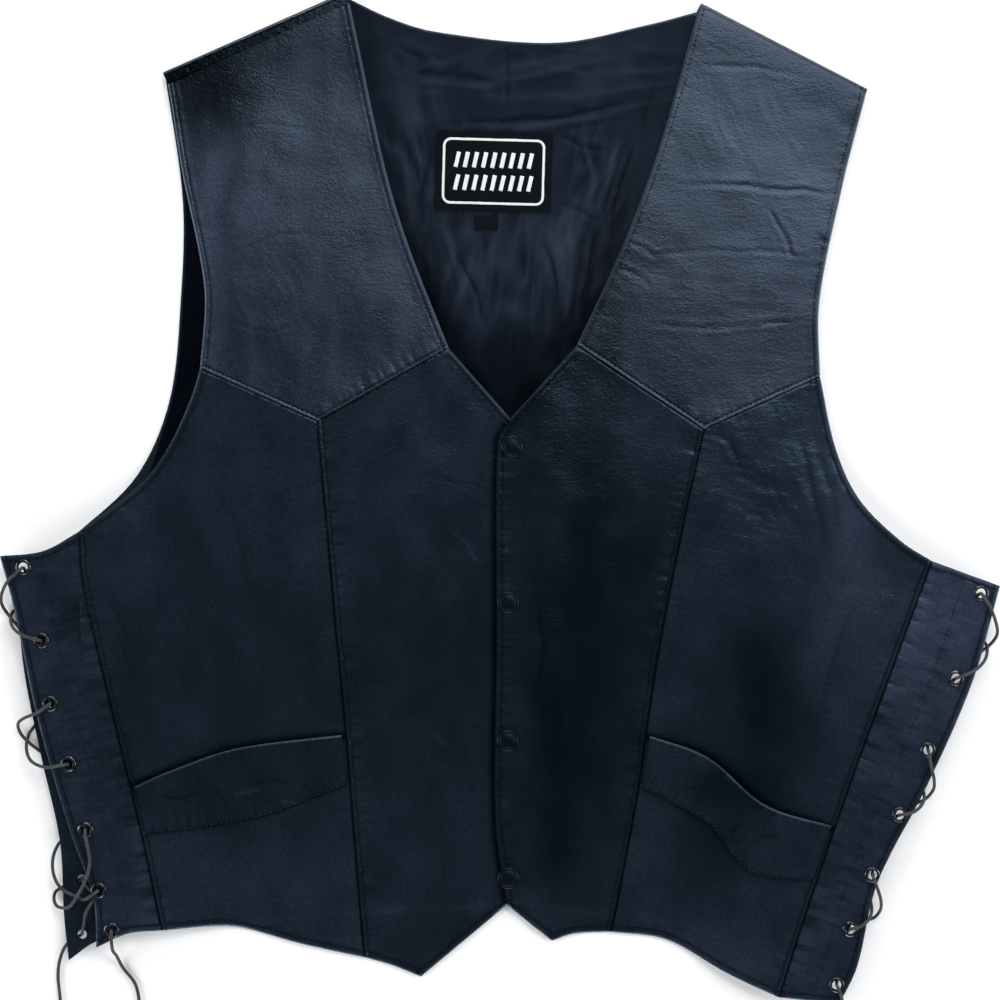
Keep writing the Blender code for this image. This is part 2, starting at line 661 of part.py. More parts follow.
def build_lower_front(side, lines, collection, cutters):
    """Side front, pocket welt, lace strip and centre front, with rows shared along their seams."""
    seam = Line(lines["strip_seam"])
    princess = Line(lines["princess"])
    outer_marks = [seam.share_near(lines[name][0]) for name in SECTIONS] + [1.0]
    inner_marks = [princess.share_near(lines[name][-1]) for name in SECTIONS] + [1.0]
    steps = [CHEST_DOWN, POCKET_DOWN, BELOW_DOWN]
    outer_runs = [seam.read(count, outer_marks[k], outer_marks[k + 1]) for k, count in enumerate(steps)]
    inner_runs = [princess.read(count, inner_marks[k], inner_marks[k + 1]) for k, count in enumerate(steps)]
    armhole = Line(lines["armhole"]).read(ARMHOLE_DOWN)
    chest_seam = princess.read(ARMHOLE_DOWN, 0.0, inner_marks[0])

    # Side front, in bands between the sections
    sections = []
    for name, outer, inner in zip(SECTIONS, outer_runs, inner_runs):
        sections.append(Line([outer[0]] + lines[name][1:-1] + [inner[0]]).read(SIDE_ACROSS))
    sections.append(Line(lines["side_hem"]).read(SIDE_ACROSS))
    yoke_seam = Line([armhole[0], lines["yoke_point"][0]]).read(SIDE_ACROSS)
    bands = [coons(yoke_seam, sections[0], armhole, chest_seam)]
    for k, (outer, inner) in enumerate(zip(outer_runs, inner_runs)):
        bands.append(coons(sections[k], sections[k + 1], outer, inner))
    side_front = raised(pulled_in(from_left(stacked(*bands))), front_height)
    sheet("side_front_" + side, side_front, LEATHER, "leather", collection)

    # Pocket welt: the pocket rows of the side front, moved out, the upper edge gaping
    first = ARMHOLE_DOWN + CHEST_DOWN
    welt = [[point.copy() for point in row] for row in side_front[first:first + POCKET_DOWN + 1]]
    for index, row in enumerate(welt):
        draw_in(row, 0, 1, WELT_SET_IN)
        draw_in(row, -1, -2, WELT_SET_IN)
        openness = 1.0 - index / POCKET_DOWN
        for column, point in enumerate(row):
            bulge = sin(pi * column / SIDE_ACROSS)
            point.z += LEATHER + CLEAR + WELT_GAPE[side] * openness * bulge
    sheet("pocket_welt_" + side, welt, LEATHER, "leather", collection)

    # Lace strip with its eyelet holes
    strip_seam = joined(*outer_runs)
    rows = len(strip_seam) - 1
    strip = coons(Line(lines["strip_top"]).read(STRIP_ACROSS), Line(lines["strip_hem"]).read(STRIP_ACROSS),
                  Line(lines["side_edge"]).read(rows), strip_seam)
    panel = sheet("lace_strip_" + side, raised(pulled_in(from_left(strip)), front_height), LEATHER, "leather",
                  collection)
    punch(panel, EYELETS[side]["front"], FRONT_REST + FRONT_RISE, cutters)

    # Centre front, down to its point
    outer = joined(chest_seam, *inner_runs)
    top = joined(Line([lines["yoke_point"][0], lines["yoke_neck"][-1]]).read(SEAM_ACROSS),
                 Line([lines["yoke_neck"][-1], lines["front_edge"][0]]).read(NECK_ACROSS))
    bottom = joined(Line(lines["point_outer"]).read(SEAM_ACROSS), Line(lines["point_inner"]).read(NECK_ACROSS))
    inner = Line(lines["front_edge"]).read(len(outer) - 1)
    height = lapped_height if side == "right" else front_height
    center = pulled_in(from_left(coons(top, bottom, outer, inner)))
    sheet("center_front_" + side, raised(center, height), LEATHER, "leather", collection)


def build_snaps(collection):
    mesh = turned_mesh("snap_cap", SNAP_PROFILE, closed=False)
    for number, (x, y) in enumerate(SNAPS, 1):
        bottom = lapped_height(x, y) + LEATHER / 2 + CLEAR
        turned("snap_cap_%d" % number, mesh, SNAP_SIDES, (x, y, bottom), "snap", collection)


def build_eyelets(collection):
    """A flange on the outer face of the leather and a barrel through it, on top or turned over underneath."""
    rim = CLEAR + EYELET_FLANGE_THICK
    profile = [(EYELET_BORE, rim), (EYELET_FLANGE - EYELET_RIM_SLOPE, rim), (EYELET_FLANGE, CLEAR),
               (EYELET_BARREL, CLEAR), (EYELET_BARREL, -LEATHER), (EYELET_BORE, -LEATHER)]
    mesh = turned_mesh("eyelet", profile, closed=True)
    levels = {"front": FRONT_REST + FRONT_RISE + LEATHER / 2, "back": BACK_RISE}
    for side, layers in EYELETS.items():
        for layer, centres in layers.items():
            for number, (x, y) in enumerate(centres, 1):
                name = "eyelet_%s_%s_%d" % (layer, side, number)
                piece = turned(name, mesh, EYELET_SIDES, (x, y, levels[layer]), "eyelet", collection)
                if layer == "back":
                    piece.rotation_euler.x = pi


def lace_pass(hole, table, toward_first, toward_last):
    """Points through one eyelet, from the first side of its table to the last."""
    points = []
    for lean, reach, height in table:
        target = toward_first if lean == "first" else toward_last
        way = (Vector(target[:2]) - Vector(hole)).normalized()
        points.append(Vector((hole[0] + way.x * reach, hole[1] + way.y * reach, height)))
    return points


def lace_route(side, strand):
    """A strand rises through every second eyelet of each row, or falls through the others."""
    rising = strand == "rising"
    front = EYELETS[side]["front"]
    back = EYELETS[side]["back"]
    first, second = (front, back) if rising else (back, front)
    start = Vector((*((Vector(front[0]) + Vector(back[0])) / 2), LACE_START))
    way = (Vector((*first[0], LACE_START)) - start).normalized()
    stops = [start + way * CLEAR / 2]
    for turn, loop in enumerate(LACE_LOOPS[side, strand]):
        leave = second[2 * turn + 1]
        enter = first[2 * turn + 2]
        middle = (Vector(leave) + Vector(enter)) / 2
        crossing = Vector((middle.x + INNER_BOW[strand], middle.y, INNER_LEVEL[strand]))
        stops += [first[2 * turn]] + [Vector(point) for point in loop] + [leave, crossing]
    stops += [first[-1]] + [Vector(point) for point in LACE_TAILS[side, strand]]

    route = []
    for index, stop in enumerate(stops):
        if isinstance(stop, Vector):
            route.append(stop)
            continue
        before, after = stops[index - 1], stops[index + 1]
        table = FRONT_PASS if stop in front else BACK_PASS
        if rising:
            route += lace_pass(stop, table, after, before)[::-1]
        else:
            route += lace_pass(stop, table, before, after)
    return route


def build_laces(collection):
    for side, strand in LACE_LOOPS:
        route = lace_route(side, strand)
        path = [route[0]]
        halved = rounded(route, 2)
        for index in range(1, len(route)):
            if (route[index] - route[index - 1]).length > LACE_STEP:
                path.append(halved[2 * index - 1])
            path.append(route[index])
        name = "lace_%s_%s" % (side, strand)
        curve = bpy.data.curves.new(name, "CURVE")
        curve.dimensions = "3D"
        curve.bevel_depth = LACE_DIAMETER / 2 * MM
        curve.bevel_resolution = 2
        curve.use_fill_caps = True
        spline = curve.splines.new("POLY")
        spline.points.add(len(path) - 1)
        for target, point in zip(spline.points, path):
            target.co = (*(point * MM), 1.0)
        add_object(name, curve, "lace", collection)


def main():
    for thing in list(bpy.data.objects):
        bpy.data.objects.remove(thing, do_unlink=True)
    vest = bpy.data.collections.new("biker_vest")
    cutters = bpy.data.collections.new("biker_vest_cutters")
    bpy.context.scene.collection.children.link(vest)
    bpy.context.scene.collection.children.link(cutters)
    build_back(vest, cutters)
    for side, points in FRONT_LINES.items():
        lines = {name: [Vector(point) for point in line] for name, line in points.items()}
        build_yoke(side, lines, vest)
        build_lower_front(side, lines, vest, cutters)
    build_snaps(vest)
    build_eyelets(vest)
    build_laces(vest)


main()
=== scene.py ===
from math import cos, pi, radians, sin

import bpy
import numpy as np
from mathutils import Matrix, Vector


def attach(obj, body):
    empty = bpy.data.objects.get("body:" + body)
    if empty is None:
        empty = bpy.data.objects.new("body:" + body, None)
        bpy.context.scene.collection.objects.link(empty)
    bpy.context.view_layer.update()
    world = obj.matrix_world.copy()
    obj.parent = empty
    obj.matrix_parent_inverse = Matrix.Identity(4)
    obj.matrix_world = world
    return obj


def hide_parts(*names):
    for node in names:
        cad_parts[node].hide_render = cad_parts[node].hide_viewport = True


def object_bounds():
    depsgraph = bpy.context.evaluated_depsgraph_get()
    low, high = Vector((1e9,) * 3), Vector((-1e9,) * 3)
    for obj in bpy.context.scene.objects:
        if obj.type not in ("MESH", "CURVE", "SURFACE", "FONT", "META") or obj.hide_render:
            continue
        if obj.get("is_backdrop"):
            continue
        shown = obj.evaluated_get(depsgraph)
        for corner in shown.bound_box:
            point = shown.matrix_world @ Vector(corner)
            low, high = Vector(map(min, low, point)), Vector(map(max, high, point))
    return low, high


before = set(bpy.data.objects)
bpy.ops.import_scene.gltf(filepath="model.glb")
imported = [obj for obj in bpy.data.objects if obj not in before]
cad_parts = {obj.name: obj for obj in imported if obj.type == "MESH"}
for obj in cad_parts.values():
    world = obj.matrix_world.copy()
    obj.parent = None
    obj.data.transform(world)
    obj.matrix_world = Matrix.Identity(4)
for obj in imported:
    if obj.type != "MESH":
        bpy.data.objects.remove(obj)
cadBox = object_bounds()
print("frame loaded:", len(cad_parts), "nodes")

mm = 0.001  # sizes and places below are in millimetres: +X right, +Y to the neck, +Z up

# How the vest lies: walls, and the heights of the middle of the leather
lie = {
    "leather": 1.3, "lining": 1.0, "clear": 0.3,
    "backRest": 0.65, "backRise": 4.3,
    "frontRest": 3.9, "frontRise": 8.35,
    "liftFull": 56.0, "liftNone": 130.0, "liftFadeLow": -20.0, "liftFadeHigh": 80.0,
    "foldRoom": 2.0, "foldRoomLift": 0.8,
    "shoulderRise": 3.15, "shoulderNear": 6.0, "shoulderFar": 70.0,
    "lapRise": 1.9, "lapFull": 26.0, "lapNone": 60.0,
    "hemSink": 2.4, "hemSinkStart": 2.0, "hemSinkEnd": 16.0,
}

# The shoulders: a round fold, and the stretch that runs on from it to the seam
shoulderFold = {"radius": 3.2, "reach": 3.85, "steps": 12, "tailLeft": 5.5, "tailRight": 2.5}

# Edges and seams of the fronts: from the outer side inwards, or from top to bottom
frontLines = {
    "left": {
        "shoulder": [(-243, 306), (-112, 364)],
        "yokeArmhole": [(-240, 295), (-229, 234), (-216, 172), (-212.4, 141), (-216, 92)],
        "yokeNeck": [(-116, 347), (-84, 242), (-67, 184), (-37, 107)],
        "yokePoint": [(-131.8, 54)],
        "armhole": [(-216, 92), (-223, 70), (-240, 34), (-259, 9), (-302, -25)],
        "stripTop": [(-358.6, -42.5), (-328, -39), (-302, -25)],
        "sideEdge": [(-358.6, -42.5), (-349, -78), (-332, -158), (-309.6, -236), (-291.6, -289),
                     (-289.4, -323)],
        "stripHem": [(-289.4, -323), (-266.4, -313), (-242.6, -311)],
        "stripSeam": [(-302, -25), (-299, -62), (-277, -158), (-256.7, -243), (-242.6, -311)],
        "princess": [(-131.8, 54), (-120, -74), (-111, -171), (-108, -207), (-98, -332)],
        "underarm": [(-302, -25), (-122, -45)],
        "pocketTop": [(-264, -207), (-235, -196), (-189, -181), (-110, -172)],
        "pocketBottom": [(-257, -239), (-177, -232), (-108, -211)],
        "sideHem": [(-242.6, -311), (-210, -309), (-189, -310), (-144, -322), (-98, -332)],
        "frontEdge": [(24, 38), (24, -277)],
        "pointOuter": [(-98, -332), (-77, -338), (-57, -346)],
        "pointInner": [(-57, -346), (-32, -325), (5, -294), (24, -277)],
    },
    "right": {
        "shoulder": [(265, 294), (145, 356)],
        "yokeArmhole": [(263, 290), (246, 221.5), (230, 141), (230.5, 86)],
        "yokeNeck": [(143, 352), (113.5, 248), (84.5, 172), (55.4, 109)],
        "yokePoint": [(146.5, 48)],
        "armhole": [(230.5, 86), (242, 34), (258.5, -2), (288, -32), (309.6, -46)],
        "stripTop": [(358.6, -64), (309.6, -46)],
        "sideEdge": [(358.6, -64), (339, -132), (305.3, -209), (270.7, -276.5), (256, -337),
                     (243.4, -363.6)],
        "stripHem": [(243.4, -363.6), (200, -359)],
        "stripSeam": [(309.6, -46), (278, -132), (251.3, -205), (224, -284), (200, -359)],
        "princess": [(146.5, 48), (128, -38), (113, -117), (105, -171), (100, -208), (80.4, -313.5)],
        "underarm": [(309.6, -46), (127, -45)],
        "pocketTop": [(238, -238), (190, -221), (149, -187), (106, -173)],
        "pocketBottom": [(225, -277), (178, -269), (150.5, -236), (100, -208)],
        "sideHem": [(200, -359), (160.6, -341), (119.5, -319), (80.4, -313.5)],
        "frontEdge": [(7, 56), (-2, 39), (-2.6, -102), (-3.5, -235), (5, -294)],
        "pointOuter": [(80.4, -313.5), (53, -315), (37.4, -320)],
        "pointInner": [(37.4, -320), (5, -294)],
    },
}

# Edges of the back: from left to right, or from top to bottom
backLines = {
    "neck": [(-110, 360), (-80, 346), (-47, 336), (40, 328), (107, 341), (142, 350)],
    "armholeLeft": [(-241, 302), (-229, 214), (-230.5, 142), (-238.5, 70), (-261.5, 16), (-300, -22),
                    (-348, -60)],
    "sideLeft": [(-348, -60), (-343.4, -121), (-330.5, -187), (-317, -248), (-314, -302), (-310.6, -333.6)],
    "hem": [(-310.6, -333.6), (-290, -320), (-216, -301), (-108, -290), (7, -285), (108, -294), (187, -312),
            (243, -339)],
    "armholeRight": [(262, 288), (236, 205), (223, 120), (232, 50), (262, -18), (335, -74)],
    "sideRight": [(335, -74), (305, -182), (266, -271), (243, -339)],
}

# The line that each laced side follows: y, x
sideLine = {
    "left": [(-333, -311), (-268, -313), (-197, -325), (-114, -343), (-42, -358)],
    "right": [(-363, 244), (-310, 260), (-251, 285), (-190, 312), (-132, 339), (-64, 358)],
}

# Broad swells of the fronts: centre x, y, radius x, y, height
swells = [
    (-150, -60, 110, 170, 3.0),
    (150, -80, 100, 170, 3.4),
    (-160, 200, 70, 90, 2.0),
    (175, 200, 70, 90, 2.0),
]

# The largest folds of the fronts: start x, y, end x, y, half width, height
folds = [
    (58, -40, 62, -280, 18, -0.9),
    (35, -60, 36, -270, 15, 0.6),
    (95, -60, 84, -260, 18, 0.6),
    (175, -90, 185, -200, 24, -2.0),
    (187, -180, 148, -285, 24, -2.0),
    (20, -300, 60, -312, 14, 0.8),
    (-305, -62, -306, -110, 12, -1.0),
]

# Eyelet centres, from top to bottom
eyeletRows = {
    "left": {
        "front": [(-342, -50.4), (-329, -103), (-322.6, -148.3), (-309.6, -191.5), (-297.4, -239),
                  (-288, -282.2), (-278.6, -311)],
        "back": [(-333.4, -72.7), (-331, -113), (-325.8, -153.4), (-317, -194), (-307.5, -235),
                 (-301, -275), (-301, -315)],
    },
    "right": {
        "front": [(345, -69), (327, -130), (307, -181.5), (286.6, -228), (267, -271), (251.3, -310),
                  (241.5, -350)],
        "back": [(317.5, -90), (306.5, -132), (294, -174), (275.5, -216), (259.5, -255), (245, -293),
                 (233.5, -326)],
    },
}


# Lines

def roundLine(points, steps=10):  # a smooth curve through a few points
    p = [np.array(point, float) for point in points]
    line = [p[0]]
    for i in range(len(p) - 1):
        before = p[i - 1] if i > 0 else 2 * p[i] - p[i + 1]
        after = p[i + 2] if i + 2 < len(p) else 2 * p[i + 1] - p[i]
        reach = np.linalg.norm(p[i + 1] - p[i])
        leave = (p[i + 1] - before) * reach / (reach + np.linalg.norm(p[i] - before))
        arrive = (after - p[i]) * reach / (reach + np.linalg.norm(after - p[i + 1]))
        for t in np.linspace(0, 1, steps + 1)[1:]:
            line.append((2 * t**3 - 3 * t**2 + 1) * p[i] + (t**3 - 2 * t**2 + t) * leave
                        + (3 * t**2 - 2 * t**3) * p[i + 1] + (t**3 - t**2) * arrive)
    return np.array(line)


def lineLengths(line):
    steps = np.linalg.norm(np.diff(line, axis=0), axis=1)
    return np.concatenate([[0.0], np.cumsum(steps)])


def readLine(line, share):
    lengths = lineLengths(line)
    wanted = np.asarray(share) * lengths[-1]
    return np.stack([np.interp(wanted, lengths, line[:, axis]) for axis in range(line.shape[1])], axis=-1)


def shareNear(line, point):
    nearest = np.argmin(np.linalg.norm(line - np.array(point), axis=1))
    return lineLengths(line)[nearest] / lineLengths(line)[-1]


def joinLines(*lines):
    return np.concatenate([lines[0]] + [line[1:] for line in lines[1:]])


def nearLine(points, line):  # distance to a line, and how far along it
    starts = line[:-1]
    runs = np.diff(line, axis=0)
    squares = (runs**2).sum(1)
    offsets = points[:, None, :] - starts[None]
    shares = np.clip((offsets * runs).sum(2) / squares, 0.0, 1.0)
    distances = ((offsets - shares[..., None] * runs) ** 2).sum(2)
    best = distances.argmin(1)
    each = np.arange(len(points))
    along = lineLengths(line)[best] + shares[each, best] * np.sqrt(squares[best])
    return np.sqrt(distances[each, best]), along


def smooth(low, high, value):
    t = np.clip((value - low) / (high - low), 0.0, 1.0)
    return t * t * (3 - 2 * t)


def bell(points, cx, cy, rx, ry):  # 1 at a place, fading out around it
    x, y = points.T
    return np.exp(-((x - cx) / rx) ** 2 - ((y - cy) / ry) ** 2)


noiseTable = np.random.default_rng(11).random((64, 64))


def softNoise(x, y, seed=0):  # smooth noise from 0 to 1, one cell for each unit
    x = x + 17.31 * seed
    y = y + 9.17 * seed
    column = np.floor(x).astype(int)
    row = np.floor(y).astype(int)
    fx = smooth(0, 1, x - column)
    fy = smooth(0, 1, y - row)
    corner = lambda i, j: noiseTable[(column + i) % 64, (row + j) % 64]
    low = corner(0, 0) * (1 - fx) + corner(1, 0) * fx
    high = corner(0, 1) * (1 - fx) + corner(1, 1) * fx
    return low * (1 - fy) + high * fy


# Heights

def sideLift(x, y):  # 1 at the laced sides, 0 in the middle
    leftY, leftX = zip(*sideLine["left"])
    rightY, rightX = zip(*sideLine["right"])
    inside = np.where(x < 0, x - np.interp(y, leftY, leftX), np.interp(y, rightY, rightX) - x)
    belowArm = 1.0 - smooth(lie["liftFadeLow"], lie["liftFadeHigh"], y)
    return (1.0 - smooth(lie["liftFull"], lie["liftNone"], inside)) * belowArm


def backHeight(points):
    return lie["backRest"] + lie["backRise"] * sideLift(points[:, 0], points[:, 1])


def foldShare(points, path, halfWidth):  # 1 along the middle of a fold, 0 at its sides and ends
    line = np.array(path, float).reshape(2, 2)
    away, along = nearLine(points, line)
    share = along / lineLengths(line)[-1]
    return (1.0 - smooth(0.0, halfWidth, away)) * smooth(0.0, 0.35, share) * smooth(0.0, 0.35, 1.0 - share)


def frontHeight(points):
    x, y = points.T
    lift = sideLift(x, y)
    toShoulder = np.where(x < 0, nearLine(points, np.array(frontLines["left"]["shoulder"], float))[0],
                          nearLine(points, np.array(frontLines["right"]["shoulder"], float))[0])
    clear = smooth(lie["shoulderNear"], lie["shoulderFar"], toShoulder)
    swell = sum(height * bell(points, *place) for *place, height in swells)
    swell = swell * (1.0 - lift) * clear
    for *path, halfWidth, height in folds:
        swell = swell + height * foldShare(points, path, halfWidth)
    swell = np.maximum(swell, -lie["foldRoom"] * smooth(lie["foldRoomLift"], 1.0, lift))
    hemX, hemY = zip(*backLines["hem"])
    pastHem = np.interp(x, hemX, hemY) - y
    sink = lie["hemSink"] * smooth(lie["hemSinkStart"], lie["hemSinkEnd"], pastHem) * (1.0 - lift)
    return lie["frontRest"] + lie["frontRise"] * lift + lie["shoulderRise"] * (1.0 - clear) + swell - sink


def lappedHeight(points):
    return frontHeight(points) + lie["lapRise"] * (1.0 - smooth(lie["lapFull"], lie["lapNone"], points[:, 0]))


# How an edge or a seam is made, by the distance from it. margin and rise: the doubled leather along it;
# roll, drop and thin: its rounded edge; stitch and groove: its stitches; dark and darkReach: how strongly
# and how far painted shade darkens it; wear and highlight: how much lighter its rim is drawn, partly as
# rubbed wear and partly as painted highlight
plainEdge = {
    "margin": 3.0, "rise": 0.0, "roll": 1.0, "drop": 0.0, "thin": 0.0, "stitch": None, "groove": 0.0,
    "dark": 0.0, "darkReach": 1.0, "wearAndHighlight": 0.0,
}
edgeKinds = {
    "turned": dict(plainEdge, margin=9.0, rise=0.35, roll=1.6, drop=0.30, thin=0.4, stitch=4.0, groove=0.28,
                   wearAndHighlight=0.26),
    "lap": dict(plainEdge, margin=9.0, rise=0.25, roll=1.4, drop=0.12, thin=0.2, stitch=4.0, groove=0.28,
                dark=0.7, darkReach=1.3),
    "over": dict(plainEdge, margin=5.4, rise=0.30, roll=1.1, drop=0.12, thin=0.2, stitch=3.1, groove=0.38,
                 dark=1.0, darkReach=1.5),
    "under": dict(plainEdge, drop=0.10, thin=0.2, dark=1.0, darkReach=1.6),
    "pressed": dict(plainEdge, rise=-0.10, drop=0.10, thin=0.2, stitch=1.6, groove=0.25, dark=0.5,
                    darkReach=1.4),
    "folded": dict(plainEdge, margin=3.4, rise=0.30, roll=1.5, drop=0.60, thin=0.6, wearAndHighlight=0.45),
    "row": dict(plainEdge, stitch=0.0),
    # shoulder and mouth draw painted shade inside a panel: along the left shoulder, and a painted shadow above
    # each pocket welt and beside the lapped front edge
    "shoulder": dict(plainEdge, dark=0.9, darkReach=24.0),
    "mouth": dict(plainEdge, rise=-0.20, dark=1.0, darkReach=6.0),
}
inPanel = ("row", "mouth", "shoulder")
grooveWidth = 0.95
puckers = {"patch": 34.0, "length": 16.0, "spacing": 2.4, "reach": 13.0}
waves = {"broad": (46.0, 1.5), "fine": (15.0, 0.45)}  # size, height
thinReach = 1.5

# How strongly painted shade darkens the leather in creases, grooves, seams and fold troughs, and how strongly
# puckers are painted lighter and darker
shading = {"crease": 2.8, "creaseWidth": 0.8, "groove": 0.8, "seamStart": 0.3, "fold": 0.4, "pucker": 1.6}

# Edges of each kind of panel: line, kind, height of the puckers along it
panelEdges = {
    "yoke": [("yokeArmhole", "turned", 0.35), ("yokeNeck", "turned", 0.35), ("seamOuter", "over", 0.7),
             ("seamInner", "over", 0.7)],
    "sideFront": [("armhole", "turned", 0.4), ("sideHem", "turned", 0.3), ("seamOuter", "under", 0.2),
                  ("princess", "under", 0.2), ("stripSeam", "over", 0.6), ("pocketTop", "mouth", 0.0)],
    "centerFront": [("princess", "over", 0.75), ("seamInner", "under", 0.2), ("neckFall", "turned", 0.4),
                    ("frontEdge", "lap", 0.9), ("pointOuter", "turned", 0.3), ("pointInner", "turned", 0.3)],
    "laceStrip": [("stripTop", "turned", 0.2), ("sideEdge", "turned", 0.4), ("stripHem", "turned", 0.2),
                  ("stripSeam", "under", 0.9), ("midStrip", "row", 0.5)],
    "pocketWelt": [("pocketTop", "folded", 0.4), ("pocketBottom", "pressed", 0.8)],
}
# Lines that only carry painted shade: the painted shadow of the lapped front edge, and painted shade along the
# left shoulder
extraEdges = {
    "centerFrontLeft": [("lapLine", "mouth", 0.0)],
    "yokeLeft": [("shoulder", "shoulder", 0.0)],
}


def edgesOf(panel):
    return panelEdges[panel["kind"]] + extraEdges.get(panel["name"], [])


# Creases of each panel: half width, depth (a ridge if negative), points
creases = {
    "yokeLeft": [
        (1.4, 0.16, [(-205, 262), (-170, 268), (-128, 262)]),
        (1.3, 0.16, [(-196, 176), (-150, 190), (-110, 186)]),
        (1.3, 0.18, [(-200, 128), (-168, 120), (-140, 128)]),
        (1.3, 0.20, [(-90, 176), (-104, 160), (-112, 140)]),
    ],
    "yokeRight": [
        (1.4, 0.40, [(137, 311), (186, 308), (236, 299)]),
        (1.4, 0.45, [(118, 226), (176, 224), (248, 217)]),
        (1.3, 0.25, [(101, 174), (160, 178), (238, 172)]),
        (1.3, 0.22, [(90, 127), (150, 122), (228, 128)]),
        (1.4, 0.35, [(191, 210), (204, 190), (212, 167)]),
        (1.3, 0.35, [(90, 183), (104, 180), (115, 171)]),
        (1.3, 0.30, [(84, 165), (98, 160), (110, 150)]),
        (1.3, 0.25, [(228, 186), (238, 182), (243, 176)]),
    ],
    "sideFrontLeft": [
        (2.6, 0.22, [(-285, -52), (-270, -100), (-262, -160)]),
        (2.4, 0.18, [(-215, 20), (-190, -20), (-180, -70)]),
    ],
    "sideFrontRight": [
        (2.2, 0.30, [(212, 55), (224, 10), (236, -45)]),
        (2.0, 0.25, [(226, 40), (238, 5), (246, -30)]),
        (1.8, 0.25, [(158, 48), (168, 34), (176, 16)]),
        (2.8, 0.25, [(262, -60), (240, -120), (222, -190)]),
    ],
    "centerFrontLeft": [
        (1.8, 0.12, [(-60, 20), (-30, 10), (0, 14)]),
    ],
    "centerFrontRight": [
        (2.4, 0.30, [(26, -66), (30, -110), (24, -160)]),
    ],
    "laceStripLeft": [
        (2.0, 0.20, [(-303, -64), (-301, -95), (-298, -128)]),
    ],
    "laceStripRight": [],
    "pocketWeltLeft": [
        (1.6, 0.30, [(-246, -214), (-228, -216), (-212, -210)]),
        (1.6, 0.25, [(-205, -206), (-199, -218), (-196, -228)]),
        (1.5, 0.22, [(-180, -208), (-165, -204), (-150, -208)]),
    ],
    "pocketWeltRight": [
        (1.6, 0.28, [(205, -246), (190, -244), (176, -252)]),
        (1.6, 0.25, [(176, -232), (168, -240), (166, -252)]),
        (1.6, 0.22, [(150, -206), (140, -210), (128, -206)]),
    ],
}

# Fields of finer wrinkles: centre x, y, radius x, y, direction in degrees, spacing, length, height
wrinkleFields = {
    "yokeLeft": [(-165, 250, 60, 50, 70, 8, 34, 0.16), (-160, 130, 60, 55, -60, 8, 30, 0.16)],
    "yokeRight": [(180, 260, 70, 50, -60, 8, 34, 0.20), (170, 140, 70, 50, -4, 8, 34, 0.20)],
    "sideFrontLeft": [(-220, -60, 60, 110, 78, 9, 34, 0.22), (-170, -270, 60, 50, 10, 9, 30, 0.20)],
    "sideFrontRight": [(225, 0, 40, 70, -68, 6, 30, 0.30), (190, -120, 50, 80, 70, 10, 40, 0.25),
                       (185, 0, 55, 60, -12, 5, 16, 0.30), (262, -90, 40, 70, -20, 6, 22, 0.22)],
    "centerFrontLeft": [(-50, -60, 60, 120, 4, 9, 26, 0.22), (-40, -240, 60, 80, 85, 9, 30, 0.22)],
    "centerFrontRight": [(80, 30, 40, 30, 20, 6, 20, 0.15), (40, -200, 50, 110, 86, 9, 40, 0.25)],
    "laceStripLeft": [(-310, -170, 40, 140, 10, 5, 22, 0.45)],
    "laceStripRight": [(290, -200, 60, 150, -14, 5, 22, 0.45)],
    "pocketWeltLeft": [(-200, -212, 60, 20, 20, 6, 16, 0.35)],
    "pocketWeltRight": [(170, -235, 60, 30, -30, 6, 16, 0.35)],
}


def edgeRelief(points, line, kindName, pucker, seed):
    kind = edgeKinds[kindName]
    away, along = nearLine(points, line)
    z = kind["rise"] * (1.0 - smooth(0.35 * kind["margin"], kind["margin"], away))
    z = z - kind["drop"] * (1.0 - smooth(0.0, kind["roll"], away)) ** 2
    stitch = kind["stitch"]
    if stitch is not None:
        z = z - kind["groove"] * np.exp(-(((away - stitch) / grooveWidth) ** 2))
    start = stitch or 0.0
    patch = smooth(-0.2, 0.6, softNoise(along / puckers["patch"], along * 0.0, seed))
    wave = softNoise(along / puckers["spacing"], away / puckers["length"], seed + 1) - 0.5
    wave = wave * patch * smooth(0.4 * start, start + 1.0, away) * np.exp(-((away / puckers["reach"]) ** 2))
    return z + pucker * wave, pucker * wave


def creaseRelief(points, halfWidth, depth, path, seed):
    line = roundLine(path)
    x, y = points.T
    wander = np.stack([softNoise(x / 14, y / 14, number) - 0.5 for number in (seed, seed + 3)], axis=1)
    away, along = nearLine(points + 2.5 * wander, line)
    share = along / lineLengths(line)[-1]
    fade = smooth(0.0, 0.25, share) * smooth(0.0, 0.25, 1.0 - share)
    trough = fade * np.exp(-((away / halfWidth) ** 2))
    shoulder = fade * np.exp(-(((away - 2.2 * halfWidth) / (1.4 * halfWidth)) ** 2))
    return depth * (0.45 * shoulder - trough), trough


def wrinkleRelief(points, field, seed):
    cx, cy, rx, ry, angle, spacing, length, height = field
    x, y = points[:, 0] - cx, points[:, 1] - cy
    mask = bell(points, cx, cy, rx, ry)
    turn = radians(angle)
    lengthwise = (x * cos(turn) + y * sin(turn)) / length
    across = (y * cos(turn) - x * sin(turn)) / spacing
    across = across + 1.2 * (softNoise(lengthwise * 0.7, across * 0.2, seed + 2) - 0.5)
    ridge = 1.0 - np.abs(2.0 * softNoise(lengthwise, across, seed) - 1.0)
    return height * mask * (ridge**2 - 0.4)


# Places where a panel droops: x, y, radius x, y, drop
droops = {"yokeLeft": [(-246, 298, 40, 46, 2.6), (-180, 302, 60, 30, 0.9)]}


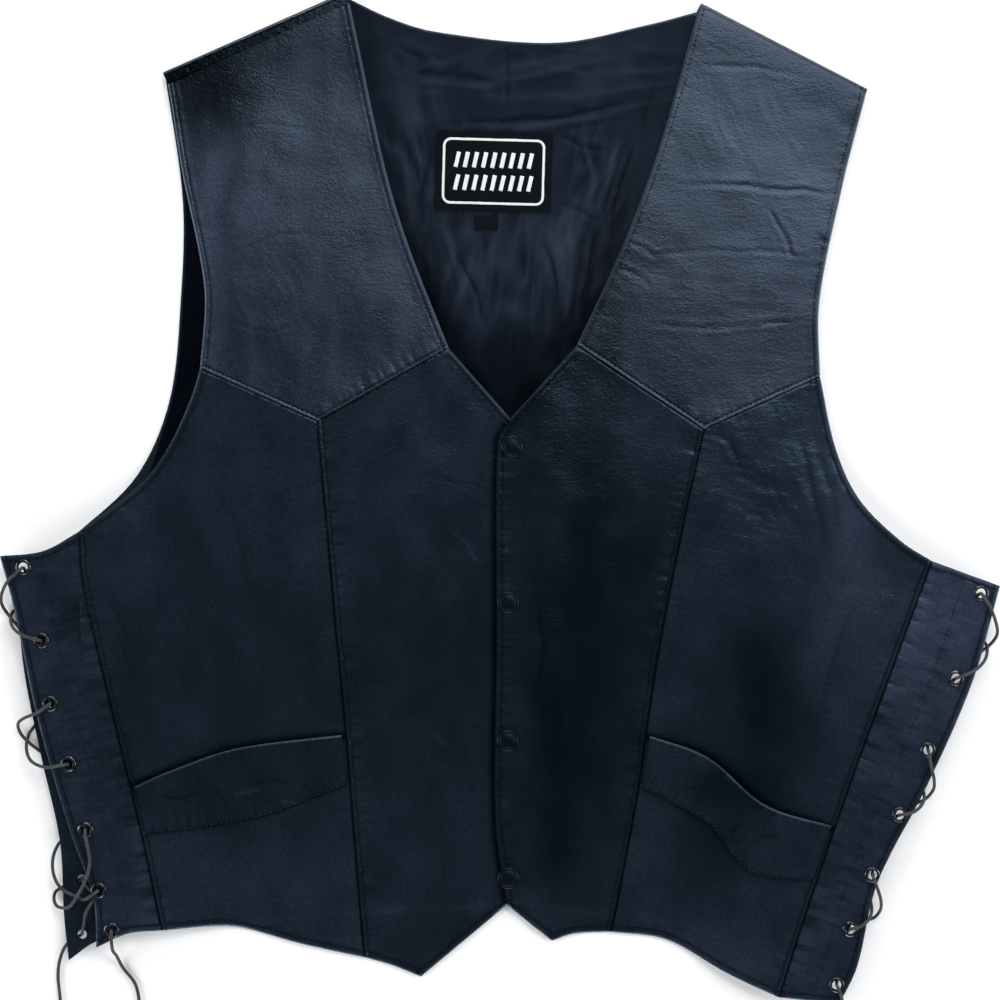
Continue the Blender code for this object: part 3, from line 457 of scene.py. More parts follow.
def panelSurface(panel):  # a function of places that gives the middle of the panel's leather
    seed = panel["seed"]
    name = panel["name"]

    def surface(points):
        x, y = points.T
        z = sum(height * (softNoise(x / size, y / size, seed + k) - 0.5)
                for k, (size, height) in enumerate(waves.values()))
        for k, row in enumerate(creases[name]):
            z = z + creaseRelief(points, *row, seed + 10 + k)[0]
        for k, field in enumerate(wrinkleFields[name]):
            z = z + wrinkleRelief(points, field, seed + 30 + k)
        z = z * panel["calm"](points)
        for *place, drop in droops.get(name, []):
            z = z - drop * bell(points, *place)
        for k, (lineName, kind, pucker) in enumerate(edgesOf(panel)):
            z = z + edgeRelief(points, panel["lines"][lineName], kind, pucker, seed + 50 + 2 * k)[0]
        return panel["base"](points) + z

    return surface


# Painted shade: the leather is darkened in creases, stitch grooves, seams, hollows, above the pocket welts,
# beside the lapped front edge and along the left shoulder
def panelShade(panel, points):  # how dark the leather is in creases, grooves, seams and hollows
    shade = np.zeros(len(points))
    for k, (halfWidth, depth, path) in enumerate(creases[panel["name"]]):
        width = shading["creaseWidth"] * halfWidth
        trough = creaseRelief(points, width, depth, path, panel["seed"] + 10 + k)[1]
        shade = np.maximum(shade, min(1.0, shading["crease"] * abs(depth) / halfWidth) * trough)
    for *place, depth in hollows.get(panel["name"], []):
        shade = np.maximum(shade, depth * bell(points, *place))
    for lineName, kindName, pucker in edgesOf(panel):
        kind = edgeKinds[kindName]
        away = nearLine(points, panel["lines"][lineName])[0]
        reach = 1.0 - smooth(shading["seamStart"], kind["darkReach"], away)
        shade = np.maximum(shade, kind["dark"] * reach)
        if kind["groove"]:
            sunk = np.exp(-(((away - kind["stitch"]) / grooveWidth) ** 2))
            shade = np.maximum(shade, shading["groove"] * sunk)
    return shade


def edgeDistance(panel, points):
    rows = [row for row in edgesOf(panel) if row[1] not in inPanel]
    return np.min([nearLine(points, panel["lines"][row[0]])[0] for row in rows], axis=0)


def panelHalf(panel, points):  # half the wall, thinner at its edges
    share = np.ones(len(points))
    for lineName, kindName, pucker in edgesOf(panel):
        away = nearLine(points, panel["lines"][lineName])[0]
        share = np.minimum(share, 1.0 - edgeKinds[kindName]["thin"] * (1.0 - smooth(0.0, thinReach, away)))
    return 0.5 * lie["leather"] * share


# Grids and walls

def edgeReader(line, params=(0.0, 1.0), shares=(0.0, 1.0)):
    return lambda t: readLine(line, np.interp(t, params, shares))


def fillPatch(top, bottom, outer, inner, u, v):  # the space between four edges
    u3, v3 = u[..., None], v[..., None]
    between = top(u) * (1 - v3) + bottom(u) * v3 + outer(v) * (1 - u3) + inner(v) * u3
    upper = top(0.0) * (1 - u3) + top(1.0) * u3
    lower = bottom(0.0) * (1 - u3) + bottom(1.0) * u3
    return between - upper * (1 - v3) - lower * v3


fineSteps = [0.0, 0.4, 0.9, 1.4, 1.9, 2.4, 2.9, 3.5, 4.1, 4.8, 5.8, 7.2]


def graded(length, step, fineStart=True, fineEnd=True):  # shares from 0 to 1, finer at the edges
    first = np.array(fineSteps if fineStart else [0.0])
    last = length - np.array(fineSteps if fineEnd else [0.0])[::-1]
    count = max(2, int(round((last[0] - first[-1]) / step)))
    return np.concatenate([first, np.linspace(first[-1], last[0], count + 1)[1:-1], last]) / length


def joinShares(parts):  # (end, shares) for each stretch, put one after the other
    result = [np.array([0.0])]
    start = 0.0
    for end, shares in parts:
        result.append(start + (end - start) * shares[1:])
        start = end
    return np.concatenate(result)


wallCorner = 50  # degrees between faces that meet in a sharp edge


def wallFromGrid(name, middle, half, keep=None, marks=None):
    # a closed wall around a grid of middle points; keep marks the cells that are there
    rows, columns = middle.shape[:2]
    normal = np.cross(np.gradient(middle, axis=0), np.gradient(middle, axis=1))
    normal /= np.linalg.norm(normal, axis=2, keepdims=True)
    wall = normal * half[..., None]
    count = rows * columns
    points = np.concatenate([(middle + wall).reshape(-1, 3), (middle - wall).reshape(-1, 3)])
    index = np.arange(count).reshape(rows, columns)
    cells = np.stack([index[:-1, :-1], index[1:, :-1], index[1:, 1:], index[:-1, 1:]], axis=2).reshape(-1, 4)
    if keep is not None:
        cells = cells[keep.reshape(-1)]
    starts = cells.reshape(-1)
    ends = np.roll(cells, -1, axis=1).reshape(-1)
    rim = ~np.isin(ends * count + starts, starts * count + ends)
    a, b = starts[rim], ends[rim]
    faces = np.concatenate([cells, cells[:, ::-1] + count, np.stack([b, a, a + count, b + count], axis=1)])
    used = np.unique(faces)
    place = np.zeros(2 * count, int)
    place[used] = np.arange(len(used))
    piece = newPiece(name, points[used], place[faces].tolist())
    piece.data.set_sharp_from_angle(angle=radians(wallCorner))
    for mark, values in (marks or {}).items():
        setAttribute(piece, mark, np.tile(values.reshape(-1), 2)[used])
    return piece


def addPiece(name, data):
    piece = bpy.data.objects.new(name, data)
    bpy.context.scene.collection.objects.link(piece)
    return piece


def newPiece(name, points, faces):
    mesh = bpy.data.meshes.new(name)
    mesh.from_pydata((points * mm).tolist(), [], faces)
    mesh.shade_smooth()
    return addPiece(name, mesh)


def setAttribute(piece, name, values):
    attribute = piece.data.attributes.new(name, "FLOAT", "POINT")
    attribute.data.foreach_set("value", np.asarray(values, np.float32))


def heights(surface, grid):
    flat = grid.reshape(-1, 2)
    return surface(flat).reshape(grid.shape[:2])


def makePanel(panel, grid, holes=(), rolled=None):
    surface = panelSurface(panel)
    panel["surface"] = surface
    panel["grid"] = grid
    keep = None
    if len(holes):
        grid, keep = punchGrid(grid, holes)
    middle = np.dstack([grid, heights(surface, grid)])
    half = heights(lambda points: panelHalf(panel, points), grid)
    marks = {name: heights(lambda points: mark(panel, points), grid) for name, mark in leatherMarks.items()}
    if rolled:
        middle = rolled(middle)
        extra = len(middle) - len(half)
        half = np.concatenate([np.full((extra, half.shape[1]), 0.5 * lie["leather"]), half])
        for name, values in marks.items():
            marks[name] = np.concatenate([np.repeat(values[:1], extra, axis=0), values])
    panel["piece"] = wallFromGrid(panel["name"], middle, half, keep, marks)


eyeletHole = {"radius": 4.1, "cells": 3.7}


def punchGrid(grid, holes):  # leaves out the cells inside each hole and rounds what is left
    centres = (grid[:-1, :-1] + grid[1:, :-1] + grid[1:, 1:] + grid[:-1, 1:]) / 4
    keep = np.ones(centres.shape[:2], bool)
    grid = grid.copy()
    for hole in np.array(holes, float):
        keep &= np.linalg.norm(centres - hole, axis=2) > eyeletHole["cells"]
        offset = grid - hole
        away = np.linalg.norm(offset, axis=2)
        near = away < eyeletHole["radius"]
        grid[near] = hole + offset[near] / np.maximum(away[near], 0.01)[:, None] * eyeletHole["radius"]
    return grid, keep


def shoulderFrame(side):
    start, end = (np.array(point, float) for point in frontLines[side]["shoulder"])
    along = (end - start) / np.linalg.norm(end - start)
    outward = np.array([-along[1], along[0]])
    return start, end, along, outward if outward[1] > 0 else -outward


def shoulderLine(side, setIn):
    start, end, along, outward = shoulderFrame(side)
    return np.array([start - outward * setIn, end - outward * setIn])


def rollShoulder(middle, side, rises, tail):  # rows that carry the top edge round the shoulder
    start, end, along, outward = shoulderFrame(side)
    base = start - outward * shoulderFold["reach"]
    radius = shoulderFold["radius"]
    centre = lie["backRest"] + radius
    turn = 1.0 if rises else -1.0
    angles = np.linspace(-pi / 2, pi / 2, shoulderFold["steps"] + 1)[1:]
    outs = [radius * cos(angle) for angle in angles]
    levels = [centre + turn * radius * sin(angle) for angle in angles]
    for share in (0.34, 0.67, 1.0):
        outs.append(-tail * share)
        levels.append(levels[-1])
    shares = (middle[0, :, :2] - base) @ along
    rows = []
    for out, level in zip(outs, levels):
        flat = base + shares[:, None] * along + out * outward
        rows.append(np.column_stack([flat, np.full(len(flat), level)]))
    return np.concatenate([np.array(rows[::-1]), middle])


# Scuffs: strength, half width, points
scuffs = {
    "centerFrontLeft": [
        (0.18, 1.2, [(-33, -26), (-24, -33), (-17, -46)]),
        (0.16, 2.0, [(-46, -172), (-41, -178)]),
        (0.16, 1.8, [(-18, -158), (-10, -164)]),
    ],
    "pocketWeltLeft": [(0.25, 1.6, [(-190, -214), (-176, -211)]), (0.2, 1.3, [(-157, -219), (-148, -220)])],
}


# Random rubbed patches, and how far rims are drawn lighter: partly rubbed wear and partly painted highlight
rubbingAndHighlight = {"patch": 24.0, "strength": 0.04, "edgeStart": 0.3, "edgeEnd": 1.8}


# Rubbed wear and scuffs, plus painted highlight along the rims
def panelWear(panel, points):
    x, y = points.T / rubbingAndHighlight["patch"]
    wearAndHighlight = rubbingAndHighlight["strength"] * smooth(0.55, 0.95, softNoise(x, y, panel["seed"] + 5))
    for strength, halfWidth, path in scuffs.get(panel["name"], []):
        away = nearLine(points, roundLine(path))[0]
        wearAndHighlight = wearAndHighlight + strength * np.exp(-((away / halfWidth) ** 2))
    for lineName, kindName, pucker in edgesOf(panel):
        away = nearLine(points, panel["lines"][lineName])[0]
        rubbed = 1.0 - smooth(rubbingAndHighlight["edgeStart"], rubbingAndHighlight["edgeEnd"], away)
        wearAndHighlight = wearAndHighlight + edgeKinds[kindName]["wearAndHighlight"] * rubbed
    return wearAndHighlight


# How light each panel is drawn, partly the hide's own tone and partly painted light and shade,
# and places painted lighter or darker as light and shade: x, y, radius x, y, change
hideToneAndLight = {
    "yokeLeft": 0.24, "yokeRight": 0.17, "sideFrontLeft": 0.19, "sideFrontRight": 0.18,
    "pocketWeltLeft": 0.13, "pocketWeltRight": 0.20, "laceStripLeft": 0.23, "laceStripRight": 0.27,
    "centerFrontLeft": 0.17, "centerFrontRight": 0.12, "backPanel": 0.20,
}
paintedLightSpots = {
    "yokeLeft": [(-212, 300, 45, 45, -0.8), (-150, 335, 55, 28, -0.6), (-203, 216, 32, 60, 1.1),
                 (-175, 95, 60, 40, -0.2)],
    "yokeRight": [(85, 150, 45, 80, -0.8), (205, 170, 60, 110, 0.8), (150, 85, 70, 40, -0.6)],
    "sideFrontLeft": [(-190, -115, 200, 75, -0.3), (-200, -305, 120, 40, 0.35)],
    "sideFrontRight": [(255, -75, 40, 60, 0.9), (256, -5, 24, 36, 0.9), (232, 55, 28, 30, 1.0),
                       (180, -348, 50, 24, 0.5), (215, 30, 40, 40, 0.1), (188, -150, 36, 75, -0.75),
                       (158, -225, 24, 40, -0.6), (150, -335, 90, 40, 0.5)],
    "centerFrontLeft": [(-40, -115, 100, 75, -0.4)],
    "centerFrontRight": [(64, -50, 52, 120, -0.9), (42, -180, 18, 110, -0.95), (36, 70, 40, 40, -0.6),
                         (112, 45, 40, 30, 1.2), (20, -305, 70, 26, 0.8)],
    "pocketWeltRight": [(164, -206, 34, 20, -0.8)],
    "laceStripLeft": [(-335, -110, 30, 80, 0.3), (-265, -310, 40, 40, 0.5)],
    "laceStripRight": [(318, -85, 60, 70, 1.1)],
}

# Places that stay in shade: x, y, radius x, y, depth
hollows = {
    "yokeLeft": [(-222, 306, 52, 42, 1.0)],
    "yokeRight": [(74, 130, 24, 60, 0.25)],
}


# The leather's tone with painted light and shade: lit and shaded places, darker fold troughs, and puckers
# drawn lighter and darker
def toneAndLightOf(panel, points):
    toneAndLight = np.full(len(points), hideToneAndLight[panel["name"]])
    for *place, change in paintedLightSpots.get(panel["name"], []):
        toneAndLight = toneAndLight * (1.0 + change * bell(points, *place))
    # painted shade in the troughs of the deeper folds
    for *path, halfWidth, height in folds:
        if height < 0:
            toneAndLight = toneAndLight * (1.0 - shading["fold"] * foldShare(points, path, 2.0 * halfWidth))
    # painted light and shade on the puckers: their ridges lighter, their troughs darker
    for k, (lineName, kind, pucker) in enumerate(edgesOf(panel)):
        wave = edgeRelief(points, panel["lines"][lineName], kind, pucker, panel["seed"] + 50 + 2 * k)[1]
        toneAndLight = toneAndLight * np.maximum(0.0, 1.0 + shading["pucker"] * wave)
    return toneAndLight


leatherMarks = {"shade": panelShade, "wearAndHighlight": panelWear, "toneAndLight": toneAndLightOf}


# Front panels

panels = []
seeds = {
    "yokeRight": 100, "yokeLeft": 200, "sideFrontLeft": 300, "sideFrontRight": 400, "pocketWeltLeft": 500,
    "pocketWeltRight": 600, "laceStripLeft": 700, "laceStripRight": 800, "centerFrontLeft": 900,
    "centerFrontRight": 1000,
}
calmReach = {"shoulder": (2.0, 26.0), "eyelet": (5.0, 14.0)}  # relief starts, relief is full


def newPanel(kind, side, base, lines):
    name = kind + side.capitalize()
    panel = {"name": name, "kind": kind, "side": side, "base": base, "seed": seeds[name], "lines": lines,
             "calm": lambda points: 1.0}
    panels.append(panel)
    return panel


def sided(side, grid):  # columns always run from left to right
    return grid if side == "left" else grid[:, ::-1]


def frontCurves(side):
    lines = {name: roundLine(points) for name, points in frontLines[side].items()}
    corners = frontLines[side]
    lines["seamOuter"] = roundLine([corners["armhole"][0], corners["yokePoint"][0]])
    lines["seamInner"] = roundLine([corners["yokePoint"][0], corners["yokeNeck"][-1]])
    lines["lapLine"] = roundLine(frontLines["right"]["frontEdge"])
    lines["neckFall"] = roundLine([corners["yokeNeck"][-1], corners["frontEdge"][0]])
    shares = np.linspace(0.035, 0.985, 40)
    lines["midStrip"] = 0.5 * (readLine(lines["sideEdge"], shares) + readLine(lines["stripSeam"], shares))
    return lines


# Grid steps of each kind of panel: across, down
gridStep = {"yoke": (1.5, 2.1), "sideFront": (2.5, 2.2), "centerFront": (2.6, 1.5), "laceStrip": (2.0, 1.5),
            "pocketWelt": (1.6, 1.6)}


def makeYoke(side, lines):
    folded = side == "right"
    setIn = shoulderFold["reach"] if folded else shoulderFold["reach"] + shoulderFold["tailLeft"] + 0.1
    shoulder = shoulderLine(side, setIn)
    armhole = roundLine([shoulder[0]] + frontLines[side]["yokeArmhole"][1:])
    neck = roundLine([shoulder[1]] + frontLines[side]["yokeNeck"][1:])
    seam = joinLines(lines["seamOuter"], lines["seamInner"])
    corner = shareNear(seam, frontLines[side]["yokePoint"][0])
    length = lineLengths(seam)[-1]
    stepAcross, stepDown = gridStep["yoke"]
    across = joinShares([(corner, graded(corner * length, stepAcross, fineEnd=False)),
                         (1.0, graded((1 - corner) * length, stepAcross, fineStart=False))])
    down = graded(lineLengths(neck)[-1], stepDown, fineStart=not folded)
    u, v = np.meshgrid(across, down)
    grid = fillPatch(edgeReader(shoulder), edgeReader(seam), edgeReader(armhole), edgeReader(neck), u, v)
    lines = dict(lines, yokeArmhole=armhole, yokeNeck=neck)
    panel = newPanel("yoke", side, frontHeight, lines)
    panel["calm"] = lambda points: smooth(*calmReach["shoulder"], nearLine(points, shoulder)[0])
    roll = (lambda middle: rollShoulder(middle, side, False, shoulderFold["tailRight"])) if folded else None
    makePanel(panel, sided(side, grid), rolled=roll)


def makeSideFront(side, lines):
    outer = joinLines(lines["armhole"], lines["stripSeam"])
    outerCorner = shareNear(outer, frontLines[side]["armhole"][-1])
    innerCorner = shareNear(lines["princess"], frontLines[side]["underarm"][-1])
    stepAcross, stepDown = gridStep["sideFront"]
    width = 0.5 * (lineLengths(lines["seamOuter"])[-1] + lineLengths(lines["underarm"])[-1])
    across = graded(width, stepAcross)
    length = lineLengths(outer)[-1]
    down = joinShares([(outerCorner, graded(outerCorner * length, stepDown, fineEnd=False)),
                       (1.0, graded((1 - outerCorner) * length, stepDown, fineStart=False))])
    u, v = np.meshgrid(across, down)
    inner = edgeReader(lines["princess"], (0, outerCorner, 1), (0, innerCorner, 1))
    grid = fillPatch(edgeReader(lines["seamOuter"]), edgeReader(lines["sideHem"]), edgeReader(outer), inner,
                     u, v)
    panel = newPanel("sideFront", side, frontHeight, lines)
    makePanel(panel, sided(side, grid))


welt = {"setIn": 3.0, "gapeLeft": 1.6, "gapeRight": 3.0}


def makeWelt(side, lines):
    seam, princess = lines["stripSeam"], lines["princess"]
    ends = frontLines[side]
    outerShares = [shareNear(seam, ends["pocketTop"][0]), shareNear(seam, ends["pocketBottom"][0])]
    innerShares = [shareNear(princess, ends["pocketTop"][-1]), shareNear(princess, ends["pocketBottom"][-1])]
    top = roundLine([readLine(seam, outerShares[0])] + ends["pocketTop"][1:-1]
                    + [readLine(princess, innerShares[0])])
    bottom = roundLine([readLine(seam, outerShares[1])] + ends["pocketBottom"][1:-1]
                       + [readLine(princess, innerShares[1])])
    width = lineLengths(top)[-1]
    stepAcross, stepDown = gridStep["pocketWelt"]
    margin = welt["setIn"] / width
    across = margin + (1 - 2 * margin) * graded(width, stepAcross)
    down = graded(lineLengths(seam)[-1] * (outerShares[1] - outerShares[0]), stepDown)
    u, v = np.meshgrid(across, down)
    grid = fillPatch(edgeReader(top), edgeReader(bottom), edgeReader(seam, (0, 1), outerShares),
                     edgeReader(princess, (0, 1), innerShares), u, v)
    gape = welt["gape" + side.capitalize()]

    def base(points):  # lies on the side front, its upper edge gaping
        toTop, along = nearLine(points, top)
        toBottom = nearLine(points, bottom)[0]
        openness = toBottom / (toTop + toBottom + 0.01)
        bulge = np.sin(pi * np.clip(along / width, 0, 1))
        return frontHeight(points) + lie["leather"] + lie["clear"] + gape * openness * bulge

    lines = dict(lines, pocketTop=top, pocketBottom=bottom)
    panel = newPanel("pocketWelt", side, base, lines)
    makePanel(panel, sided(side, grid))


def makeStrip(side, lines):
    stepAcross, stepDown = gridStep["laceStrip"]
    width = 0.5 * (lineLengths(lines["stripTop"])[-1] + lineLengths(lines["stripHem"])[-1])
    across = graded(width, stepAcross)
    down = graded(lineLengths(lines["sideEdge"])[-1], stepDown)
    u, v = np.meshgrid(across, down)
    edges = [edgeReader(lines[name]) for name in ("stripTop", "stripHem", "sideEdge", "stripSeam")]
    grid = fillPatch(*edges, u, v)
    panel = newPanel("laceStrip", side, frontHeight, lines)
    holes = eyeletRows[side]["front"]
    panel["calm"] = lambda points: smooth(*calmReach["eyelet"], holeDistance(points, holes))
    makePanel(panel, sided(side, grid), holes)


def holeDistance(points, holes):
    return np.min([np.linalg.norm(points - np.array(hole), axis=1) for hole in holes], axis=0)


def makeCenterFront(side, lines):
    top = joinLines(lines["seamInner"], lines["neckFall"])
    bottom = joinLines(lines["pointOuter"], lines["pointInner"])
    topCorner = shareNear(top, frontLines[side]["yokeNeck"][-1])
    bottomCorner = shareNear(bottom, frontLines[side]["pointInner"][0])
    stepAcross, stepDown = gridStep["centerFront"]
    half = 0.5 * lineLengths(top)[-1] * 0.8
    across = joinShares([(0.5, graded(half, stepAcross, fineEnd=False)),
                         (1.0, graded(half, stepAcross, fineStart=False))])
    down = graded(lineLengths(lines["princess"])[-1], stepDown)
    u, v = np.meshgrid(across, down)
    grid = fillPatch(edgeReader(top, (0, 0.5, 1), (0, topCorner, 1)),
                     edgeReader(bottom, (0, 0.5, 1), (0, bottomCorner, 1)),
                     edgeReader(lines["princess"]), edgeReader(lines["frontEdge"]), u, v)
    base = lappedHeight if side == "right" else frontHeight
    panel = newPanel("centerFront", side, base, lines)
    makePanel(panel, sided(side, grid))


for side in frontLines:
    curves = frontCurves(side)
    makeYoke(side, curves)
    makeSideFront(side, curves)
    makeWelt(side, curves)
    makeStrip(side, curves)
    makeCenterFront(side, curves)
print("fronts made:", len(panels), "panels")


# Back and lining

back = {
    "shoulderShare": 0.28, "sideShare": 0.087,  # columns under each shoulder, and beside each laced edge
    "columns": (25, 12, 26), "armholeRows": 50, "sideRows": 112, "thin": 0.6, "foldShade": 0.8,
    "waveSize": 40.0, "waveHeight": 0.25, "waveSeed": 21,
}
lining = {
    "atShoulder": 8.0, "atNeck": 1.6, "atArmhole": 3.0, "atSide": 44.0, "atHem": 15.0,
    "width": 600.0, "upperDepth": 400.0, "lowerDepth": 250.0, "lie": 0.35, "puff": 0.4,
    "armShade": 0.9, "lowShade": 0.65, "creaseShade": 0.9, "ridgeGloss": 0.4, "wrinkleGloss": 0.75,
    "sideEase": 1.6, "easeLift": 0.25, "columns": (14, 132), "rows": (124, 12, 16), "seenShare": 0.62,
    "shadow": {"left": (0.4, 1.0), "right": (0.0, 1.0)}, "shadowReach": {"left": 30.0, "right": 44.0},
}

# Broad swells of the lining inside the neck, and its creases: half width, depth, points
liningSwells = [
    (88, 205, 22, 40, 1.2),
    (-78, 285, 24, 40, 1.2),
    (12, 145, 30, 22, 1.2),
]
liningCreases = [
    (1.2, 0.7, [(4, 330), (5, 305), (4, 279)]),
    (1.8, 0.5, [(-72, 307), (-34, 304), (4, 300)]),
    (1.6, -0.6, [(-66, 300), (-30, 297), (2, 294)]),
    (2.0, 0.7, [(-50, 270), (43, 273), (108, 288)]),
    (1.6, -0.7, [(-20, 266), (43, 268), (100, 281)]),
    (1.6, 0.5, [(-78, 326), (-60, 318), (-38, 316)]),
    (1.8, 0.7, [(-49, 253), (-54, 230), (-61, 208)]),
    (1.8, 0.9, [(95, 257), (87, 226), (76, 196)]),
    (1.6, -0.8, [(88, 262), (78, 232), (66, 200)]),
    (1.6, 0.6, [(112, 300), (104, 280), (98, 262)]),
    (2.2, 1.0, [(70, 203), (62, 160), (54, 120)]),
    (2.4, -0.8, [(50, 200), (50, 160), (44, 116)]),
    (2.4, 0.8, [(30, 190), (40, 150), (34, 112)]),
    (2.0, 0.7, [(-30, 176), (-18, 150), (-12, 118)]),
    (1.8, -0.6, [(-44, 200), (-34, 172), (-26, 140)]),
    (2.0, -0.7, [(58, 262), (66, 232), (62, 204)]),
    (1.5, 0.5, [(42, 262), (62, 252), (80, 250)]),
    (1.5, 0.5, [(40, 212), (58, 206), (72, 196)]),
    (11.0, 0.9, [(92, 225), (72, 165), (46, 115), (20, 76)]),
    (12.0, 0.8, [(-34, 120), (-10, 92), (10, 62)]),
]

# Fields of finer wrinkles of the lining, as for the leather
liningFields = [
    (0, 268, 60, 14, 8, 5, 20, 0.58),
    (72, 225, 26, 50, 72, 6, 30, 0.80),
    (10, 160, 60, 50, 84, 7, 36, 0.80),
    (-62, 225, 22, 50, 100, 6, 26, 0.65),
    (-60, 312, 40, 24, 20, 6, 24, 0.51),
    (60, 310, 60, 24, -12, 8, 40, 0.65),
    (-10, 150, 60, 60, 76, 12, 50, 1.09),
    (60, 180, 34, 70, 62, 11, 46, 1.09),
    (-66, 250, 26, 60, 108, 11, 40, 0.94),
    (50, 300, 80, 36, 10, 11, 50, 0.80),
]


def backEdges():
    lines = {name: list(points) for name, points in backLines.items()}
    leftShoulder = shoulderLine("left", shoulderFold["reach"])
    rightSet = shoulderFold["reach"] + shoulderFold["tailRight"] + lie["clear"]
    rightShoulder = shoulderLine("right", rightSet)[::-1]
    lines["neck"][0], lines["neck"][-1] = leftShoulder[1], rightShoulder[0]
    lines["armholeLeft"][0], lines["armholeRight"][0] = leftShoulder[0], rightShoulder[1]
    lines = {name: roundLine(points) for name, points in lines.items()}
    top = joinLines(leftShoulder, lines["neck"], rightShoulder)
    share = back["shoulderShare"]
    knots = (0, share, 1 - share, 1)
    neckShares = (0, shareNear(top, leftShoulder[1]), shareNear(top, rightShoulder[0]), 1)
    underarm = np.array([lines["sideLeft"][0], lines["sideRight"][0]])
    return lines, {
        "top": edgeReader(top, knots, neckShares), "underarm": edgeReader(underarm),
        "hem": edgeReader(lines["hem"]), "armLeft": edgeReader(lines["armholeLeft"]),
        "armRight": edgeReader(lines["armholeRight"]), "sideLeft": edgeReader(lines["sideLeft"]),
        "sideRight": edgeReader(lines["sideRight"]),
    }


backCurves, backReaders = backEdges()


def backGrid(u, vUpper, vLower, inset=None):
    upper = np.meshgrid(u, vUpper)
    lower = np.meshgrid(u, vLower)
    if inset:
        upper = inset(*upper, True)
        lower = inset(*lower, False)
    e = backReaders
    upperGrid = fillPatch(e["top"], e["underarm"], e["armLeft"], e["armRight"], *upper)
    lowerGrid = fillPatch(e["underarm"], e["hem"], e["sideLeft"], e["sideRight"], *lower)
    return np.concatenate([upperGrid, lowerGrid[1:]])


def shareRuns(marks, counts):  # even steps between marks
    runs = [np.linspace(a, b, n + 1)[1:] for a, b, n in zip(marks, marks[1:], counts)]
    return np.concatenate([[marks[0]]] + runs)


def backSurface(points):
    x, y = points.T
    wave = softNoise(x / back["waveSize"], y / back["waveSize"], back["waveSeed"]) - 0.5
    wave = back["waveHeight"] * wave * (1.0 - sideLift(x, y))
    return backHeight(points) + wave + back["waveHeight"] / 2


def makeBack():
    side, shoulder = back["sideShare"], back["shoulderShare"]
    u = shareRuns((0, side, shoulder, 1 - shoulder, 1 - side, 1), back["columns"] + back["columns"][1::-1])
    grid = backGrid(u, np.linspace(0, 1, back["armholeRows"]), np.linspace(0, 1, back["sideRows"]))
    holes = eyeletRows["left"]["back"] + eyeletRows["right"]["back"]
    grid, keep = punchGrid(grid, holes)
    middle = np.dstack([grid, heights(backSurface, grid)])
    middle[0, :, 2] = lie["backRest"]
    rolled = rollShoulder(middle, "left", True, shoulderFold["tailLeft"])
    extra = len(rolled) - len(middle)
    onShoulder = np.repeat((u[1:] <= shoulder + 1e-6)[None], extra, axis=0)
    keep = np.concatenate([onShoulder, keep])
    rim = np.min([nearLine(grid.reshape(-1, 2), line)[0] for line in backCurves.values()], axis=0)
    half = np.full(rolled.shape[:2], 0.5 * lie["leather"])
    half[extra:] *= 1.0 - back["thin"] * (1.0 - smooth(0.0, thinReach, rim.reshape(grid.shape[:2])))
    marks = {name: np.zeros(half.shape) for name in leatherMarks}
    marks["toneAndLight"][extra:] = hideToneAndLight["backPanel"]
    marks["shade"][:extra] = back["foldShade"]
    return wallFromGrid("backPanel", rolled, half, keep, marks)


def liningInset(u, v, upper):  # draws the grid in from the edges of the back
    onShoulder = np.abs(u - 0.5) > 0.5 - back["shoulderShare"]
    topInset = np.where(onShoulder, lining["atShoulder"], lining["atNeck"]) / lining["upperDepth"]
    hemInset = lining["atHem"] / lining["lowerDepth"]
    laced = smooth(0.6, 1.0, v) if upper else 1.0
    inset = (lining["atArmhole"] + (lining["atSide"] - lining["atArmhole"]) * laced) / lining["width"]
    v = topInset + (1 - topInset) * v if upper else v * (1 - hemInset)
    return inset + (1 - 2 * inset) * u, v


def liningSurface(points):
    x, y = points.T
    step = 0.5 * (lie["leather"] + lie["lining"]) + lie["clear"]
    ease = lining["sideEase"] * smooth(0.0, lining["easeLift"], sideLift(x, y))
    swell = sum(height * bell(points, *place) for *place, height in liningSwells)
    seen = smooth(60.0, 110.0, y) * (1.0 - smooth(300.0, 345.0, np.abs(x) + 0.5 * y))
    z = 1.0 * (softNoise(x / 22, y / 46, 5) - 0.5) + 0.5 * (softNoise(x / 9, y / 24, 6) - 0.5)
    for k, field in enumerate(liningFields):
        z = z + wrinkleRelief(points, field, 90 + k)
    for k, row in enumerate(liningCreases):
        z = z + creaseRelief(points, *row, 60 + k)[0]
    return backHeight(points) + step + ease + swell + lining["lie"] + seen * (z + lining["puff"])


def liningShade(points):  # dark beside the fronts, in the creases and out at the armholes
    x, y = points.T
    atArms = lining["armShade"] * smooth(140.0, 185.0, np.abs(x))
    shade = np.maximum(atArms, lining["lowShade"] * (1.0 - smooth(80.0, 180.0, y)))
    for panel in panels:
        high, low = lining["shadow"][panel["side"]]
        depth = low + (high - low) * smooth(120.0, 260.0, y)
        reach = lining["shadowReach"][panel["side"]]
        for lineName in ("yokeNeck", "neckFall"):
            away = nearLine(points, panel["lines"][lineName])[0]
            shade = np.maximum(shade, depth * (1.0 - smooth(0.0, reach, away)))
    for k, row in enumerate(liningCreases):
        trough = creaseRelief(points, *row, 60 + k)[1]
        if row[1] > 0:
            shade = np.maximum(shade, lining["creaseShade"] * row[1] * trough)
    return shade


def liningGloss(points):  # light along the ridges
    gloss = np.zeros(len(points))
    for k, row in enumerate(liningCreases):
        if row[1] < 0:
            ridge = creaseRelief(points, *row, 60 + k)[1]
            gloss = np.maximum(gloss, -lining["ridgeGloss"] * row[1] * ridge)
    for k, field in enumerate(liningFields):
        gloss = gloss + lining["wrinkleGloss"] * np.maximum(0.0, wrinkleRelief(points, field, 90 + k))
    return gloss


